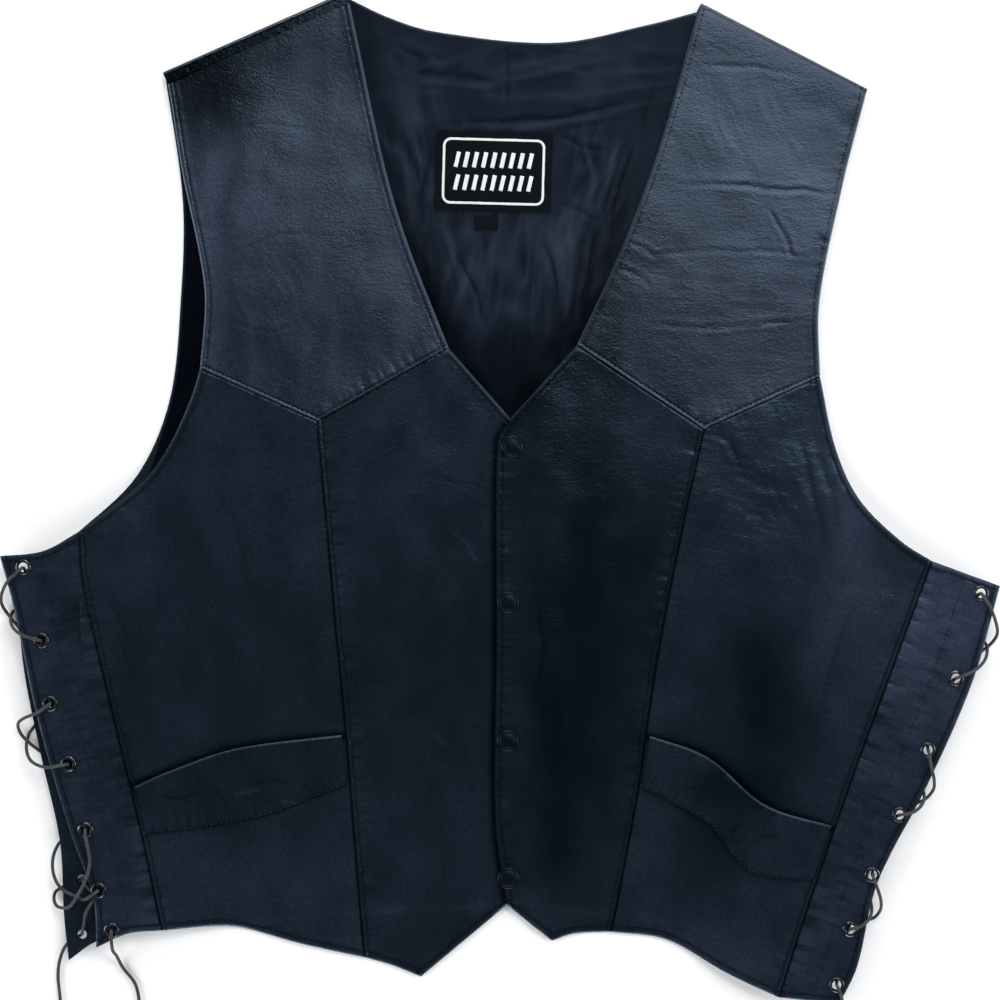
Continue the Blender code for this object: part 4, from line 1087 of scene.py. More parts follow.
def makeLining():
    share = back["shoulderShare"]
    outer, middle = lining["columns"]
    u = shareRuns((0, share, 1 - share, 1), (outer, middle, outer))
    seenRows, hiddenRows, lowerRows = lining["rows"]
    vUpper = shareRuns((0, lining["seenShare"], 1), (seenRows, hiddenRows))
    grid = backGrid(u, vUpper, np.linspace(0, 1, lowerRows), liningInset)
    points = np.dstack([grid, heights(liningSurface, grid)])
    # painted shade, and painted highlight along the lining's ridges and wrinkles
    marks = {"shade": heights(liningShade, grid), "wearAndHighlight": heights(liningGloss, grid)}
    return wallFromGrid("backLining", points, np.full(grid.shape[:2], 0.5 * lie["lining"]), None, marks)


backPanel = makeBack()
backLining = makeLining()
print("back and lining made")


# Neck label: a woven patch with a frame line and two rows of plain slanted bars
label = {
    "centre": (-4.7, 234.5), "size": (84.0, 58.0), "tilt": -1.5, "wall": 0.7, "step": 2.0,
    "frame": (72.0, 46.0), "corner": 5.0, "line": 1.8, "frameSteps": 150, "markHalf": 0.16, "markProud": 0.02,
    "rows": (8.2, -8.2), "bars": 9, "barWidth": 3.0, "barHeight": 11.0, "barPitch": 6.6, "slant": 2.2,
}
sizeTab = {"centre": (-10.0, 197.5), "size": (17.0, 11.0), "tilt": 1.0, "wall": 0.6, "step": 1.0}


def turned(points, patch):  # from the patch's own places to the vest's
    angle = radians(patch["tilt"])
    x, y = points[..., 0], points[..., 1]
    placed = np.stack([x * cos(angle) - y * sin(angle), x * sin(angle) + y * cos(angle)], axis=-1)
    return placed + np.array(patch["centre"])


# How label and tab lie: start of the loose rim as shares of the size, its ripple, the lowest height, the drift
patchLie = {"rim": (0.42, 0.38), "ripple": 0.35, "lowest": 2.9, "drift": 0.5, "clear": 0.05}


def patchSurface(patch):
    def surface(points):
        local = np.abs(points - np.array(patch["centre"]))
        rim = (local - np.array(patchLie["rim"]) * np.array(patch["size"])).max(1)
        x, y = points.T
        ripple = patchLie["ripple"] * smooth(-2.0, 6.0, rim) * (softNoise(x / 6, y / 6, 8) - 0.3)
        calm = patchLie["lowest"] + patchLie["drift"] * (softNoise(x / 30, y / 30, 9) - 0.3)
        top = liningSurface(points) + 0.5 * lie["lining"]
        return np.maximum(calm, top) + 0.5 * patch["wall"] + ripple + patchLie["clear"]
    return surface


def makePatch(name, patch):
    width, depth = patch["size"]
    x, y = np.meshgrid(np.linspace(-width / 2, width / 2, int(width / patch["step"]) + 1),
                       np.linspace(depth / 2, -depth / 2, int(depth / patch["step"]) + 1))
    wobble = 0.5 * (softNoise(x / 9, y / 9, 4) - 0.5)
    grid = turned(np.dstack([x + wobble, y + wobble]), patch)
    middle = np.dstack([grid, heights(patchSurface(patch), grid)])
    return wallFromGrid(name, middle, np.full(grid.shape[:2], 0.5 * patch["wall"]))


def sweep(path, halfWidth, halfHeight, sides, closed=False):  # an oval section along a path
    count = len(path)
    ahead = np.roll(path, -1, axis=0) - np.roll(path, 1, axis=0)
    if not closed:
        ahead[0] = path[1] - path[0]
        ahead[-1] = path[-1] - path[-2]
    ahead = ahead / np.linalg.norm(ahead, axis=1)[:, None]
    up = np.zeros((count, 3))
    guide = np.array([0.0, 0.0, 1.0])
    if abs(ahead[0] @ guide) > 0.95:
        guide = np.array([1.0, 0.0, 0.0])
    for k in range(count):  # carried along without twisting
        guide = guide - (guide @ ahead[k]) * ahead[k]
        guide = guide / np.linalg.norm(guide)
        up[k] = guide
    beside = np.cross(ahead, up)
    angles = np.linspace(0, 2 * pi, sides, endpoint=False)
    halfWidth = np.broadcast_to(halfWidth, count)[:, None, None]
    ring = halfWidth * np.cos(angles)[None, :, None] * beside[:, None] + halfHeight * (
        np.sin(angles)[None, :, None] * up[:, None])
    points = (path[:, None] + ring).reshape(-1, 3)
    faces = []
    for k in range(count if closed else count - 1):
        here, there = k * sides, ((k + 1) % count) * sides
        for s in range(sides):
            n = (s + 1) % sides
            faces.append([here + s, here + n, there + n, there + s])
    if not closed:
        faces.append(list(range(sides))[::-1])
        faces.append([(count - 1) * sides + s for s in range(sides)])
    return points, faces


def joinParts(parts):
    points, faces = [], []
    for partPoints, partFaces in parts:
        faces += [[index + len(points) for index in face] for face in partFaces]
        points += partPoints.tolist()
    return np.array(points), faces


def makeLabelMarks():
    surface = patchSurface(label)
    parts = []
    halfX, halfY, corner = label["frame"][0] / 2, label["frame"][1] / 2, label["corner"]
    path = []
    for quarter, (sx, sy) in enumerate(((1, 1), (-1, 1), (-1, -1), (1, -1))):
        for step in range(7):
            angle = (quarter + step / 6) * pi / 2
            path.append((sx * (halfX - corner) + corner * cos(angle),
                         sy * (halfY - corner) + corner * sin(angle)))
    path = np.array(path + path[:1])
    path = readLine(path, np.linspace(0, 1, label["frameSteps"]))[:-1]
    strokes = [(path, label["line"] / 2, True)]
    for rowY in label["rows"]:
        for bar in range(label["bars"]):
            x = (bar - (label["bars"] - 1) / 2) * label["barPitch"]
            share = np.linspace(-0.5, 0.5, 8)[:, None]
            stroke = np.array([x, rowY]) + share * np.array([label["slant"], label["barHeight"]])
            strokes.append((stroke, label["barWidth"] / 2, False))
    for stroke, halfWidth, closed in strokes:
        flat = turned(stroke, label)
        height = surface(flat) + 0.5 * label["wall"] + label["markProud"]
        parts.append(sweep(np.column_stack([flat, height]), halfWidth, label["markHalf"], 8, closed))
    return newPiece("labelMarks", *joinParts(parts))


neckLabel = makePatch("neckLabel", label)
tabPatch = makePatch("sizeTab", sizeTab)
labelMarks = makeLabelMarks()
print("label made")


# Stitches: short capsules of thread, sunk a little into the leather
stitch = {"pitch": 3.6, "length": 3.0, "radius": 0.32, "sides": 5, "dip": 0.42, "proud": 0.08,
          "look": 0.004}


def stitchRow(line, offset, panel):
    length = lineLengths(line)[-1]
    count = max(2, int(length / stitch["pitch"]))
    shares = (np.arange(count) + 0.5) / count
    centre = readLine(line, shares)
    further = readLine(line, np.minimum(shares + stitch["look"], 1.0))
    ahead = further - readLine(line, np.maximum(shares - stitch["look"], 0.0))
    ahead /= np.linalg.norm(ahead, axis=1)[:, None]
    inward = np.stack([-ahead[:, 1], ahead[:, 0]], axis=1)
    middle = panel["grid"].reshape(-1, 2).mean(0)
    if (inward[count // 2] @ (middle - centre[count // 2])) < 0:
        inward = -inward
    return centre + offset * inward, ahead


def stitchMesh(centres, ahead, surface):
    rings = [(-0.5, 0.25, -1.0), (-0.28, 1.0, 0.0), (0.28, 1.0, 0.0), (0.5, 0.25, -1.0)]  # along, girth, dip
    angles = np.linspace(0, 2 * pi, stitch["sides"], endpoint=False)
    beside = np.stack([-ahead[:, 1], ahead[:, 0]], axis=1)
    parts = []
    for along, girth, dip in rings:
        flat = centres + along * stitch["length"] * ahead
        level = surface(flat) + 0.5 * lie["leather"] + stitch["proud"] + dip * stitch["dip"]
        radius = stitch["radius"] * girth
        ringXY = flat[:, None] + radius * np.cos(angles)[None, :, None] * beside[:, None]
        ringZ = level[:, None] + radius * np.sin(angles)[None]
        parts.append(np.dstack([ringXY, ringZ]))
    points = np.stack(parts, axis=1)  # stitches, rings, sides, xyz
    sides = stitch["sides"]
    one = []
    for ring in range(len(rings) - 1):
        for s in range(sides):
            n = (s + 1) % sides
            one.append([ring * sides + s, (ring + 1) * sides + s, (ring + 1) * sides + n, ring * sides + n])
    size = len(rings) * sides
    faces = (np.arange(len(centres))[:, None, None] * size + np.array(one)[None]).reshape(-1, 4)
    caps = []
    for k in range(len(centres)):
        caps.append([k * size + s for s in range(sides)])
        caps.append([(k + 1) * size - 1 - s for s in range(sides)])
    return points.reshape(-1, 3), faces.tolist() + caps


def makeStitches(panel):
    parts = []
    for lineName, kind, pucker in edgesOf(panel):
        offset = edgeKinds[kind]["stitch"]
        if offset is None:
            continue
        centres, ahead = stitchRow(panel["lines"][lineName], offset, panel)
        inside = np.ones(len(centres), bool)
        if offset:
            inside = edgeDistance(panel, centres) > 0.8 * min(offset, 2.0)
        parts.append(stitchMesh(centres[inside], ahead[inside], panel["surface"]))
    return newPiece("stitches" + panel["name"][0].upper() + panel["name"][1:], *joinParts(parts))


stitches = [makeStitches(panel) for panel in panels]
print("stitches made:", sum(len(piece.data.polygons) for piece in stitches), "faces")


# Hardware, turned from a ring by extruding its edge

def deselect():
    if bpy.context.object and bpy.context.object.mode != "OBJECT":
        bpy.ops.object.mode_set(mode="OBJECT")
    bpy.ops.object.select_all(action="DESELECT")


def turnProfile(name, profile, sides, closed):
    # profile: radius and height of each ring; a closed one becomes a hollow ring, an open one is capped
    deselect()
    radius, height = profile[0]
    bpy.ops.mesh.primitive_circle_add(vertices=sides, radius=radius * mm, fill_type="NOTHING",
                                      location=(0, 0, height * mm))
    piece = bpy.context.object
    piece.name = name
    bpy.ops.object.mode_set(mode="EDIT")
    bpy.ops.mesh.select_all(action="SELECT")
    for nextRadius, nextHeight in profile[1:]:
        bpy.ops.mesh.extrude_region_move(TRANSFORM_OT_translate={"value": (0, 0, (nextHeight - height) * mm)})
        grow = nextRadius / radius
        bpy.ops.transform.resize(value=(grow, grow, 1.0), center_override=(0, 0, nextHeight * mm))
        radius, height = nextRadius, nextHeight
    bpy.ops.mesh.select_mode(type="EDGE")
    bpy.ops.mesh.select_all(action="DESELECT")
    bpy.ops.mesh.select_non_manifold()
    if closed:
        bpy.ops.mesh.bridge_edge_loops()
    else:
        bpy.ops.mesh.edge_face_add()
    bpy.ops.mesh.select_all(action="SELECT")
    bpy.ops.mesh.normals_make_consistent(inside=False)
    bpy.ops.object.mode_set(mode="OBJECT")
    bpy.ops.object.transform_apply(location=True, rotation=True, scale=True)
    bpy.ops.object.shade_smooth_by_angle(angle=radians(40))
    return piece


def placeCopy(master, name, place, upsideDown=False):
    mesh = master.data.copy()
    mesh.name = name
    points = np.zeros(len(mesh.vertices) * 3)
    mesh.vertices.foreach_get("co", points)
    points = points.reshape(-1, 3)
    if upsideDown:
        points = points * np.array([1.0, -1.0, -1.0])
    mesh.vertices.foreach_set("co", (points + np.array(place) * mm).reshape(-1))
    mesh.update()
    return addPiece(name, mesh)


eyelet = {
    "sides": 28,  # profile from the foot of the bore, over the rim and back down the barrel
    "profile": [(3.4, -1.3), (3.4, 0.55), (3.5, 0.85), (3.75, 1.05), (4.2, 1.14), (4.7, 1.08), (5.2, 0.86),
                (5.5, 0.58), (5.6, 0.3), (5.3, 0.22), (3.85, 0.22), (3.8, -1.3)],
}
snap = {
    "places": [(8.4, 36.3), (5.8, -76.0), (5.3, -175.5), (6.0, -274.5)], "sides": 40,
    "profile": [(7.0, 0.0), (7.5, 0.12), (7.7, 0.5), (7.62, 0.95), (7.25, 1.35), (6.7, 1.55), (6.25, 1.5),
                (5.95, 1.36), (5.7, 1.42), (5.3, 1.66), (4.4, 1.95), (3.0, 2.2), (1.5, 2.34), (0.3, 2.38)],
}


def makeEyelets():
    master = turnProfile("eyeletMaster", eyelet["profile"], eyelet["sides"], True)
    levels = {"front": lie["frontRest"] + lie["frontRise"] + lie["leather"] / 2, "back": lie["backRise"]}
    made = []
    for side, layers in eyeletRows.items():
        for layer, centres in layers.items():
            for number, (x, y) in enumerate(centres, 1):
                name = "eyelet" + layer.capitalize() + side.capitalize() + str(number)
                piece = placeCopy(master, name, (x, y, levels[layer]), layer == "back")
                made.append((piece, "eyelet_%s_%s_%d" % (layer, side, number)))
    bpy.data.objects.remove(master, do_unlink=True)
    return made


def makeSnaps():
    master = turnProfile("snapMaster", snap["profile"], snap["sides"], False)
    made = []
    for number, (x, y) in enumerate(snap["places"], 1):
        level = float(lappedHeight(np.array([[x, y]], float))[0]) + lie["leather"] / 2 + lie["clear"]
        made.append((placeCopy(master, "snapCap%d" % number, (x, y, level)), "snap_cap_%d" % number))
    bpy.data.objects.remove(master, do_unlink=True)
    return made


eyelets = makeEyelets()
snaps = makeSnaps()
print("hardware made:", len(eyelets), "eyelets,", len(snaps), "snap caps")


# Laces: how a strand passes an eyelet, as the side it leans to, distance from the centre and height
lace = {
    "diameter": 2.4, "sides": 9, "steps": 7, "start": 8.6, "spacing": 1.6, "uneven": 0.08,
    "frontPass": [("first", 3.6, 15.7), ("first", 0.6, 14.0), ("last", 0.6, 11.7), ("last", 3.4, 9.7),
                  ("last", 7.0, 9.9)],
    "backPass": [("first", 7.0, 7.3), ("first", 3.4, 7.5), ("first", 0.6, 5.5), ("last", 0.6, 3.2),
                 ("last", 3.6, 1.6)],
    "bow": {"rising": 3.0, "falling": -3.0}, "level": {"rising": 7.2, "falling": 10.0},
}
laceLoops = {
    ("left", "rising"): [
        [(-353, -61, 15.2), (-359, -74, 8), (-355.5, -84, 2.2)],
        [(-331, -154.5, 15.5), (-341, -158.5, 13), (-346.5, -163, 8), (-346, -170.5, 2.4), (-338, -179, 1.6)],
        [(-293.8, -261, 15.5), (-296.6, -274, 15.5), (-302.4, -285, 15), (-309.6, -294.5, 11),
         (-318.5, -295, 6), (-321.8, -290, 3), (-320, -284, 1.8)],
    ],
    ("left", "falling"): [
        [(-348.5, -80.5, 2), (-351.8, -85, 7.5), (-349.5, -93, 13.5), (-342, -99, 15.6)],
        [(-335.5, -165, 1.8), (-339.3, -171, 6.5), (-339.8, -180.7, 12), (-336, -189, 14.8),
         (-326, -193.5, 15.5)],
        [(-314, -245, 1.6), (-319.5, -252, 3.5), (-322, -262, 7), (-320.5, -273, 8.5), (-315, -281.5, 9.5),
         (-303, -287.5, 11), (-297.5, -288.5, 14)],
    ],
    ("right", "rising"): [
        [(351, -79, 15.6), (355.5, -90, 13.5), (357.5, -99, 8), (353, -107, 2.6), (343, -114, 1.6)],
        [(308.5, -192, 15.6), (311, -202, 14.2), (311.5, -210.5, 8.5), (306, -218.5, 2.6),
         (297, -221.5, 1.6)],
        [(270.5, -281, 15.6), (273, -289, 13.5), (273.5, -297, 8), (269, -304, 2.6), (260, -304, 1.6)],
    ],
    ("right", "falling"): [
        [(335, -96, 1.6), (346, -102, 1.8), (350.5, -107.5, 6.5), (347.5, -117, 13.5), (339.5, -124.5, 15.6)],
        [(299.5, -198, 1.6), (303, -208, 5), (304.8, -214.5, 9.8), (302.5, -220.5, 13.6),
         (296.5, -225.5, 15.6)],
        [(263, -275, 1.6), (265, -286, 5), (267, -294, 9.5), (265.5, -301, 13.6), (260, -306.5, 15.6)],
    ],
}
laceTails = {
    ("left", "rising"): [(-278, -325, 12), (-276, -331, 5), (-272, -340, 1.6), (-263.5, -351, 1.6),
                         (-260.6, -362, 1.6), (-259, -380, 1.6), (-262, -412, 1.6)],
    ("left", "falling"): [(-312.5, -322.6, 1.6), (-316.8, -331, 1.6), (-319, -344, 1.6), (-317.5, -362, 1.6),
                          (-315, -400, 1.6), (-315.5, -412, 1.6)],
    ("right", "rising"): [(244.5, -358, 15.4), (246, -366, 14.6), (245, -371, 9), (238, -371.5, 3),
                          (226, -366, 1.6), (205, -352, 1.6)],
    ("right", "falling"): [(226, -325, 1.6), (222, -312, 1.6), (224, -300, 1.6)],
}


def lacePass(hole, table, towardFirst, towardLast):
    points = []
    for lean, reach, height in table:
        target = towardFirst if lean == "first" else towardLast
        way = np.array(target[:2], float) - np.array(hole, float)
        flat = np.array(hole) + way / np.linalg.norm(way) * reach
        points.append((flat[0], flat[1], height))
    return points


def laceRoute(side, strand):
    rising = strand == "rising"
    front, behind = eyeletRows[side]["front"], eyeletRows[side]["back"]
    first, second = (front, behind) if rising else (behind, front)
    start = (np.array(front[0]) + np.array(behind[0])) / 2
    way = np.array(first[0]) - start
    start = start + way / np.linalg.norm(way) * lie["clear"] / 2
    stops = [(start[0], start[1], lace["start"])]
    for turn, loop in enumerate(laceLoops[side, strand]):
        leave, enter = second[2 * turn + 1], first[2 * turn + 2]
        crossing = ((leave[0] + enter[0]) / 2 + lace["bow"][strand], (leave[1] + enter[1]) / 2,
                    lace["level"][strand])
        stops += [first[2 * turn]] + loop + [leave, crossing]
    stops += [first[-1]] + laceTails[side, strand]
    route = []
    for k, stop in enumerate(stops):
        if len(stop) == 3:
            route.append(stop)
            continue
        table = lace["frontPass"] if stop in front else lace["backPass"]
        if rising:
            route += lacePass(stop, table, stops[k + 1], stops[k - 1])[::-1]
        else:
            route += lacePass(stop, table, stops[k - 1], stops[k + 1])
    return np.array(route)


def makeLaces():
    made = []
    for side, strand in laceLoops:
        path = roundLine(laceRoute(side, strand), lace["steps"])
        lengths = lineLengths(path)
        path = readLine(path, np.linspace(0, 1, int(lengths[-1] / lace["spacing"])))
        girth = 1.0 + lace["uneven"] * (softNoise(lineLengths(path) / 9, 0.0 * path[:, 0], 3) - 0.5)
        name = "lace" + side.capitalize() + strand.capitalize()
        piece = newPiece(name, *sweep(path, 0.5 * lace["diameter"] * girth, 0.5 * lace["diameter"],
                                          lace["sides"]))
        made.append((piece, "lace_%s_%s" % (side, strand), path * mm))
    return made


laces = makeLaces()
print("laces made")


# Materials

def node(tree, kind, values=None, **settings):
    made = tree.nodes.new("ShaderNode" + kind)
    for name, value in settings.items():
        setattr(made, name, value)
    for name, value in (values or {}).items():
        if isinstance(value, bpy.types.NodeSocket):
            tree.links.new(value, made.inputs[name])
        else:
            made.inputs[name].default_value = value
    return made


def maths(tree, operation, a, b=0.0):
    return node(tree, "Math", {0: a, 1: b}, operation=operation).outputs[0]


def ranged(tree, value, fromLow, fromHigh, toLow, toHigh):
    return node(tree, "MapRange", {"Value": value, "From Min": fromLow, "From Max": fromHigh, "To Min": toLow,
                                   "To Max": toHigh}).outputs[0]


def mixed(tree, share, first, second):
    return node(tree, "Mix", {0: share, 6: first, 7: second}, data_type="RGBA").outputs[2]


def newGroup(name, inputs, outputs):
    tree = bpy.data.node_groups.new(name, "ShaderNodeTree")
    for socket, kind in inputs:
        tree.interface.new_socket(name=socket, in_out="INPUT", socket_type="NodeSocket" + kind)
    for socket, kind in outputs:
        tree.interface.new_socket(name=socket, in_out="OUTPUT", socket_type="NodeSocket" + kind)
    return tree, tree.nodes.new("NodeGroupInput").outputs, tree.nodes.new("NodeGroupOutput").inputs


def placeGroup(tree, group, values):
    return node(tree, "Group", values, node_tree=group).outputs


def stretched(tree, place, factors):
    return node(tree, "VectorMath", {0: place, 1: factors}, operation="MULTIPLY").outputs[0]


def noise(tree, place, scale, detail, **more):
    return node(tree, "TexNoise", {"Vector": place, "Scale": scale, "Detail": detail, **more}).outputs[0]


def marksOf(tree, *names):  # what the mesh says about each place
    return [node(tree, "Attribute", attribute_name=name).outputs["Fac"] for name in names]


def joinFinish(tree, shader, colour, roughness, height, strength, distance):
    tree.links.new(colour, shader.inputs["Base Color"])
    if roughness:
        tree.links.new(roughness, shader.inputs["Roughness"])
    bump = node(tree, "Bump", {"Strength": strength, "Distance": distance, "Height": height})
    tree.links.new(bump.outputs[0], shader.inputs["Normal"])


def newFinish(name, **values):
    material = bpy.data.materials.new(name)
    material.use_nodes = True
    tree = material.node_tree
    shader = tree.nodes["Principled BSDF"]
    for socket, value in values.items():
        shader.inputs[socket.replace("_", " ")].default_value = value
    place = node(tree, "TexCoord").outputs["Object"]
    return material, tree, shader, place


def makeGrainGroup():  # pebbles and wrinkles of the leather, and flecks where they catch the light
    inputs = [("Place", "Vector"), ("Pebble", "Float"), ("Wrinkle", "Float")]
    tree, given, result = newGroup("leatherGrain", inputs, [("Height", "Float"), ("Fleck", "Float")])
    lines = noise(tree, stretched(tree, given["Place"], (160.0, 300.0, 160.0)), 1.0, 2.0, Distortion=0.6)
    rough = noise(tree, given["Place"], maths(tree, "MULTIPLY", given["Pebble"], 0.6), 2.0, Roughness=0.6)
    pebbles = node(tree, "TexVoronoi", {"Vector": given["Place"], "Scale": given["Pebble"]})
    dome = maths(tree, "SUBTRACT", 1.0, pebbles.outputs["Distance"])
    height = maths(tree, "ADD", maths(tree, "MULTIPLY", dome, 0.4), rough)
    height = maths(tree, "ADD", height, maths(tree, "MULTIPLY", lines, given["Wrinkle"]))
    tree.links.new(height, result["Height"])
    tree.links.new(ranged(tree, rough, 0.35, 0.65, 0.0, 1.0), result["Fleck"])
    return tree


def makeWeaveGroup():  # crossing threads
    tree, given, result = newGroup("wovenThreads", [("Place", "Vector"), ("Threads", "Float")],
                                   [("Height", "Float"), ("Slub", "Float")])
    parts = node(tree, "SeparateXYZ", {0: given["Place"]}).outputs
    warp = maths(tree, "SINE", maths(tree, "MULTIPLY", parts["X"], given["Threads"]))
    weft = maths(tree, "SINE", maths(tree, "MULTIPLY", parts["Y"], given["Threads"]))
    tree.links.new(maths(tree, "MULTIPLY", warp, weft), result["Height"])
    slub = noise(tree, stretched(tree, given["Place"], (900.0, 40.0, 40.0)), 1.0, 2.0)
    tree.links.new(slub, result["Slub"])
    return tree


def makeMetalGroup():  # rubbed patches on metal
    tree, given, result = newGroup("rubbedMetal", [("Place", "Vector"), ("Size", "Float")],
                                   [("Rubbed", "Float"), ("Height", "Float")])
    patches = noise(tree, given["Place"], given["Size"], 6.0, Roughness=0.65)
    tree.links.new(ranged(tree, patches, 0.42, 0.66, 0.0, 1.0), result["Rubbed"])
    tree.links.new(patches, result["Height"])
    return tree


grainGroup = makeGrainGroup()
weaveGroup = makeWeaveGroup()
metalGroup = makeMetalGroup()

# Leather of the shiny yokes and of the duller body
# Leather colours: dark and light bound the drawn tone; the worn colour lightens rubbed places and painted
# highlights on rims; the deepest is painted shade
leatherColours = {"dark": (0.0003, 0.0022, 0.0032, 1), "light": (0.0300, 0.0420, 0.0710, 1),
              "wornAndHighlight": (0.020, 0.026, 0.037, 1), "deep": (0.0001, 0.0004, 0.0008, 1)}
leathers = {
    "yokeLeather": {
        "specular": 0.62, "tint": (0.55, 0.72, 1.0, 1), "rough": (0.27, 0.37), "pebble": 840.0,
        "wrinkle": 0.9, "bump": 1.0, "depth": 0.00018, "fleck": 0.30, "streak": (60.0, 18.0, 60.0),
        "mottle": 0.20,
    },
    "bodyLeather": {
        "specular": 0.36, "tint": (0.45, 0.69, 1.0, 1), "rough": (0.21, 0.28), "pebble": 760.0,
        "wrinkle": 1.2, "bump": 0.7, "depth": 0.00020, "fleck": 0.20, "streak": (34.0, 24.0, 34.0),
        "mottle": 0.20,
    },
}
coolTint = (0.5, 0.75, 1.0, 1)


def makeLeather(name):
    f = leathers[name]
    material, tree, shader, place = newFinish(name, Specular_IOR_Level=f["specular"], Specular_Tint=f["tint"])
    grain = placeGroup(tree, grainGroup, {"Place": place, "Pebble": f["pebble"], "Wrinkle": f["wrinkle"]})
    broad = noise(tree, stretched(tree, place, f["streak"]), 1.0, 2.0)
    wearAndHighlight, toneAndLight, shade = marksOf(tree, "wearAndHighlight", "toneAndLight", "shade")
    fleck = ranged(tree, grain["Fleck"], 0.0, 1.0, 1.0 - f["fleck"], 1.0 + f["fleck"])
    mottle = ranged(tree, broad, 0.3, 0.7, 1.0 - f["mottle"], 1.0 + f["mottle"])
    toneAndLight = maths(tree, "MULTIPLY", toneAndLight, maths(tree, "MULTIPLY", fleck, mottle))
    # the tone holds the hide's tone with painted light and shade
    colour = mixed(tree, toneAndLight, leatherColours["dark"], leatherColours["light"])
    # rubbed wear, and painted highlight along the rims
    colour = mixed(tree, maths(tree, "MULTIPLY", wearAndHighlight, grain["Fleck"]), colour, leatherColours["wornAndHighlight"])
    # painted shade in creases, grooves, seams and hollows
    colour = mixed(tree, maths(tree, "MULTIPLY", shade, 0.9), colour, leatherColours["deep"])
    dull = maths(tree, "SUBTRACT", maths(tree, "MULTIPLY", wearAndHighlight, 0.6), maths(tree, "MULTIPLY", shade, 0.08))
    rough = maths(tree, "ADD", ranged(tree, broad, 0.3, 0.7, *f["rough"]), dull)
    joinFinish(tree, shader, colour, rough, grain["Height"], f["bump"], f["depth"])
    return material


def makeLaceFinish():
    material, tree, shader, place = newFinish("leatherLace", Specular_IOR_Level=0.35)
    grain = placeGroup(tree, grainGroup, {"Place": place, "Pebble": 900.0})
    mottle = noise(tree, place, 220.0, 4.0)
    share = ranged(tree, mottle, 0.35, 0.65, 0.0, 1.0)
    colour = mixed(tree, share, (0.012, 0.013, 0.015, 1), (0.034, 0.036, 0.040, 1))
    rough = ranged(tree, mottle, 0.3, 0.7, 0.55, 0.75)
    joinFinish(tree, shader, colour, rough, grain["Height"], 0.5, 0.0002)
    return material


def makeLiningFinish():
    material, tree, shader, place = newFinish("satinLining", Specular_IOR_Level=0.10,
                                              Specular_Tint=(0.55, 0.75, 1.0, 1))
    threads = placeGroup(tree, weaveGroup, {"Place": place, "Threads": 9000.0})
    colour = mixed(tree, threads["Slub"], (0.0011, 0.0025, 0.0058, 1), (0.0030, 0.0052, 0.0106, 1))
    gloss, shade = marksOf(tree, "wearAndHighlight", "shade")
    # painted highlight along the ridges and wrinkles, then painted shade beside the fronts, in the creases and
    # at the armholes
    colour = mixed(tree, gloss, colour, (0.020, 0.028, 0.046, 1))
    colour = mixed(tree, shade, colour, (0.0004, 0.0008, 0.0018, 1))
    satin = ranged(tree, noise(tree, place, 25.0, 3.0), 0.3, 0.7, 0.42, 0.52)
    rough = maths(tree, "SUBTRACT", satin, maths(tree, "MULTIPLY", shade, 0.2))
    joinFinish(tree, shader, colour, rough, threads["Height"], 0.25, 0.00005)
    return material


def makeLabelFinish(name, dark, light, roughness):
    material, tree, shader, place = newFinish(name, Roughness=roughness, Specular_IOR_Level=0.08,
                                              Specular_Tint=coolTint)
    threads = placeGroup(tree, weaveGroup, {"Place": place, "Threads": 7000.0})
    colour = mixed(tree, threads["Slub"], dark, light)
    joinFinish(tree, shader, colour, None, threads["Height"], 0.5, 0.0001)
    return material


def makeThread(name, dark, light):
    material, tree, shader, place = newFinish(name, Roughness=0.6, Specular_IOR_Level=0.1,
                                              Specular_Tint=coolTint)
    mottle = noise(tree, place, 400.0, 2.0)
    colour = mixed(tree, ranged(tree, mottle, 0.35, 0.65, 0.0, 1.0), dark, light)
    joinFinish(tree, shader, colour, None, mottle, 0.4, 0.0001)
    return material


def makeMetal(name, dark, bright, metallic, size, specular):
    material, tree, shader, place = newFinish(name, Metallic=metallic, Specular_IOR_Level=specular,
                                              Specular_Tint=coolTint)
    rubbed = placeGroup(tree, metalGroup, {"Place": place, "Size": size})
    rough = ranged(tree, rubbed["Rubbed"], 0.0, 1.0, 0.38, 0.26)
    colour = mixed(tree, rubbed["Rubbed"], dark, bright)
    joinFinish(tree, shader, colour, rough, rubbed["Height"], 0.12, 0.0001)
    return material


leatherMaterials = {name: makeLeather(name) for name in leathers}
laceMaterial = makeLaceFinish()
liningMaterial = makeLiningFinish()
labelMaterial = makeLabelFinish("wovenLabel", (0.0010, 0.0015, 0.0026, 1), (0.0028, 0.0036, 0.0056, 1), 0.8)
whiteMaterial = makeLabelFinish("whiteThread", (0.52, 0.53, 0.54, 1), (0.70, 0.71, 0.72, 1), 0.7)
threadMaterial = makeThread("darkThread", (0.0015, 0.0030, 0.0055, 1), (0.0060, 0.0095, 0.0150, 1))
weltThread = makeThread("greyThread", (0.003, 0.006, 0.010, 1), (0.014, 0.020, 0.029, 1))
eyeletMaterial = makeMetal("gunmetal", (0.014, 0.017, 0.022, 1), (0.11, 0.12, 0.135, 1), 1.0, 420.0, 0.5)
snapMaterial = makeMetal("blackEnamel", (0.0009, 0.0020, 0.0036, 1), (0.0022, 0.0040, 0.0066, 1), 0.0,
                         300.0, 0.16)
print("materials made")


# Joining the pieces to the frame

def dress(piece, material, slot, *nodes):
    piece.data.materials.append(material)
    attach(piece, "root")
    if nodes:
        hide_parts(*nodes)


# Name of each kind of panel among the frame's parts
nodeNames = {"yoke": "yoke", "sideFront": "side_front", "pocketWelt": "pocket_welt",
             "laceStrip": "lace_strip", "centerFront": "center_front"}

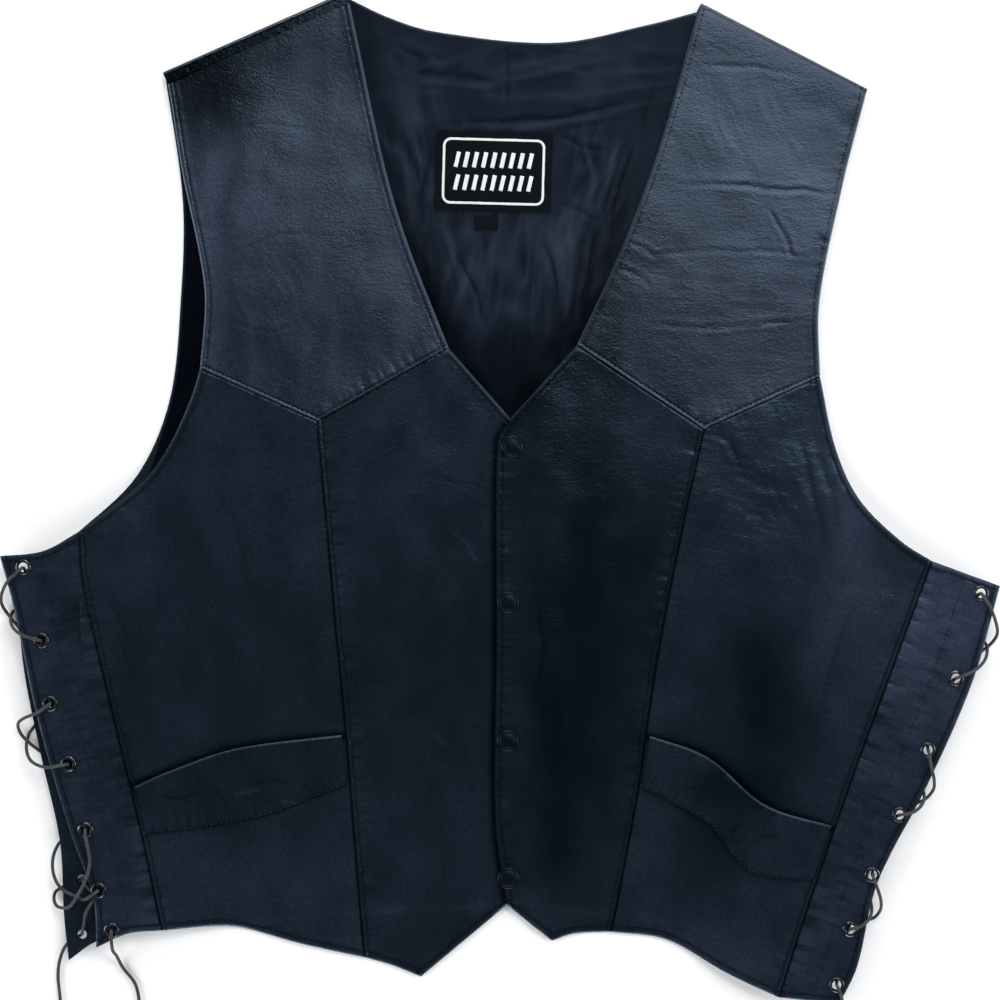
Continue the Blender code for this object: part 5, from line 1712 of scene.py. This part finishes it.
for panel in panels:
    piece = panel["piece"]
    hide = "yokeLeather" if panel["kind"] == "yoke" else "bodyLeather"
    dress(piece, leatherMaterials[hide], "leather", nodeNames[panel["kind"]] + "_" + panel["side"])
for panel, piece in zip(panels, stitches):
    dress(piece, weltThread if panel["kind"] == "pocketWelt" else threadMaterial, "leather")
dress(backPanel, leatherMaterials["bodyLeather"], "leather", "back_panel")
dress(backLining, liningMaterial, "lining", "back_lining")
dress(neckLabel, labelMaterial, "label", "neck_label")
dress(tabPatch, labelMaterial, "label", "size_tab")
dress(labelMarks, whiteMaterial, "label")
for piece, nodeName in eyelets:
    dress(piece, eyeletMaterial, "eyelet", nodeName)
for piece, nodeName in snaps:
    dress(piece, snapMaterial, "snap", nodeName)
for piece, nodeName, path in laces:
    dress(piece, laceMaterial, "lace", nodeName)
print("pieces ride on the frame")


# Floor, light and camera
studio = {
    "floor": 4.0, "floorDrop": 0.0004, "floorColour": (0.86, 0.87, 0.88, 1),
    "world": (0.030, 0.031, 0.033, 1),
    # light: place, aim, width, height, watts; all of them are white
    "lights": [
        ("sheenLight", (0.43, 0.89, 1.6), (0.15, 0.2, 0.0), 1.3, 0.8, 15.5),
        ("backFill", (0.0, 2.7, 0.8), (0.0, 0.1, 0.0), 2.6, 1.0, 85.0),
        ("leftFill", (-2.6, 0.0, 0.8), (0.0, 0.0, 0.0), 1.4, 2.4, 80.0),
        ("rightFill", (2.6, 0.0, 0.8), (0.0, 0.0, 0.0), 1.4, 2.4, 80.0),
        ("frontFill", (0.0, -2.7, 0.8), (0.0, -0.1, 0.0), 2.6, 1.0, 85.0),
    ],
    "camera": (0.0, -0.0022, 1.706), "lens": 85.0, "sensor": 36.0,
}


def makeStudio():
    deselect()
    bpy.ops.mesh.primitive_plane_add(size=studio["floor"], location=(0, 0, -studio["floorDrop"]))
    floor = bpy.context.object
    floor.name = "floor"
    material, tree, shader, place = newFinish("palePaper", Roughness=0.9, Specular_IOR_Level=0.1)
    shader.inputs["Base Color"].default_value = studio["floorColour"]
    floor.data.materials.append(material)
    floor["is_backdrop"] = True
    world = bpy.data.worlds.new("studio")
    bpy.context.scene.world = world
    world.use_nodes = True
    world.node_tree.nodes["Background"].inputs[0].default_value = studio["world"]
    for name, place, aim, width, height, watts in studio["lights"]:
        light = bpy.data.lights.new(name, "AREA")
        light.shape = "RECTANGLE"
        light.size, light.size_y, light.energy = width, height, watts
        lamp = addPiece(name, light)
        lamp.location = place
        lamp.rotation_euler = (Vector(aim) - Vector(place)).to_track_quat("-Z", "Y").to_euler()
    camera = bpy.data.cameras.new("camera")
    camera.lens = studio["lens"]
    camera.sensor_width = studio["sensor"]
    eye = addPiece("camera", camera)
    eye.location = studio["camera"]
    bpy.context.scene.camera = eye
    bpy.context.scene.view_settings.view_transform = "Standard"


makeStudio()
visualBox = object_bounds()
({"cad": [list(corner) for corner in cadBox],
           "visual": [list(corner) for corner in visualBox]})
print("studio made")
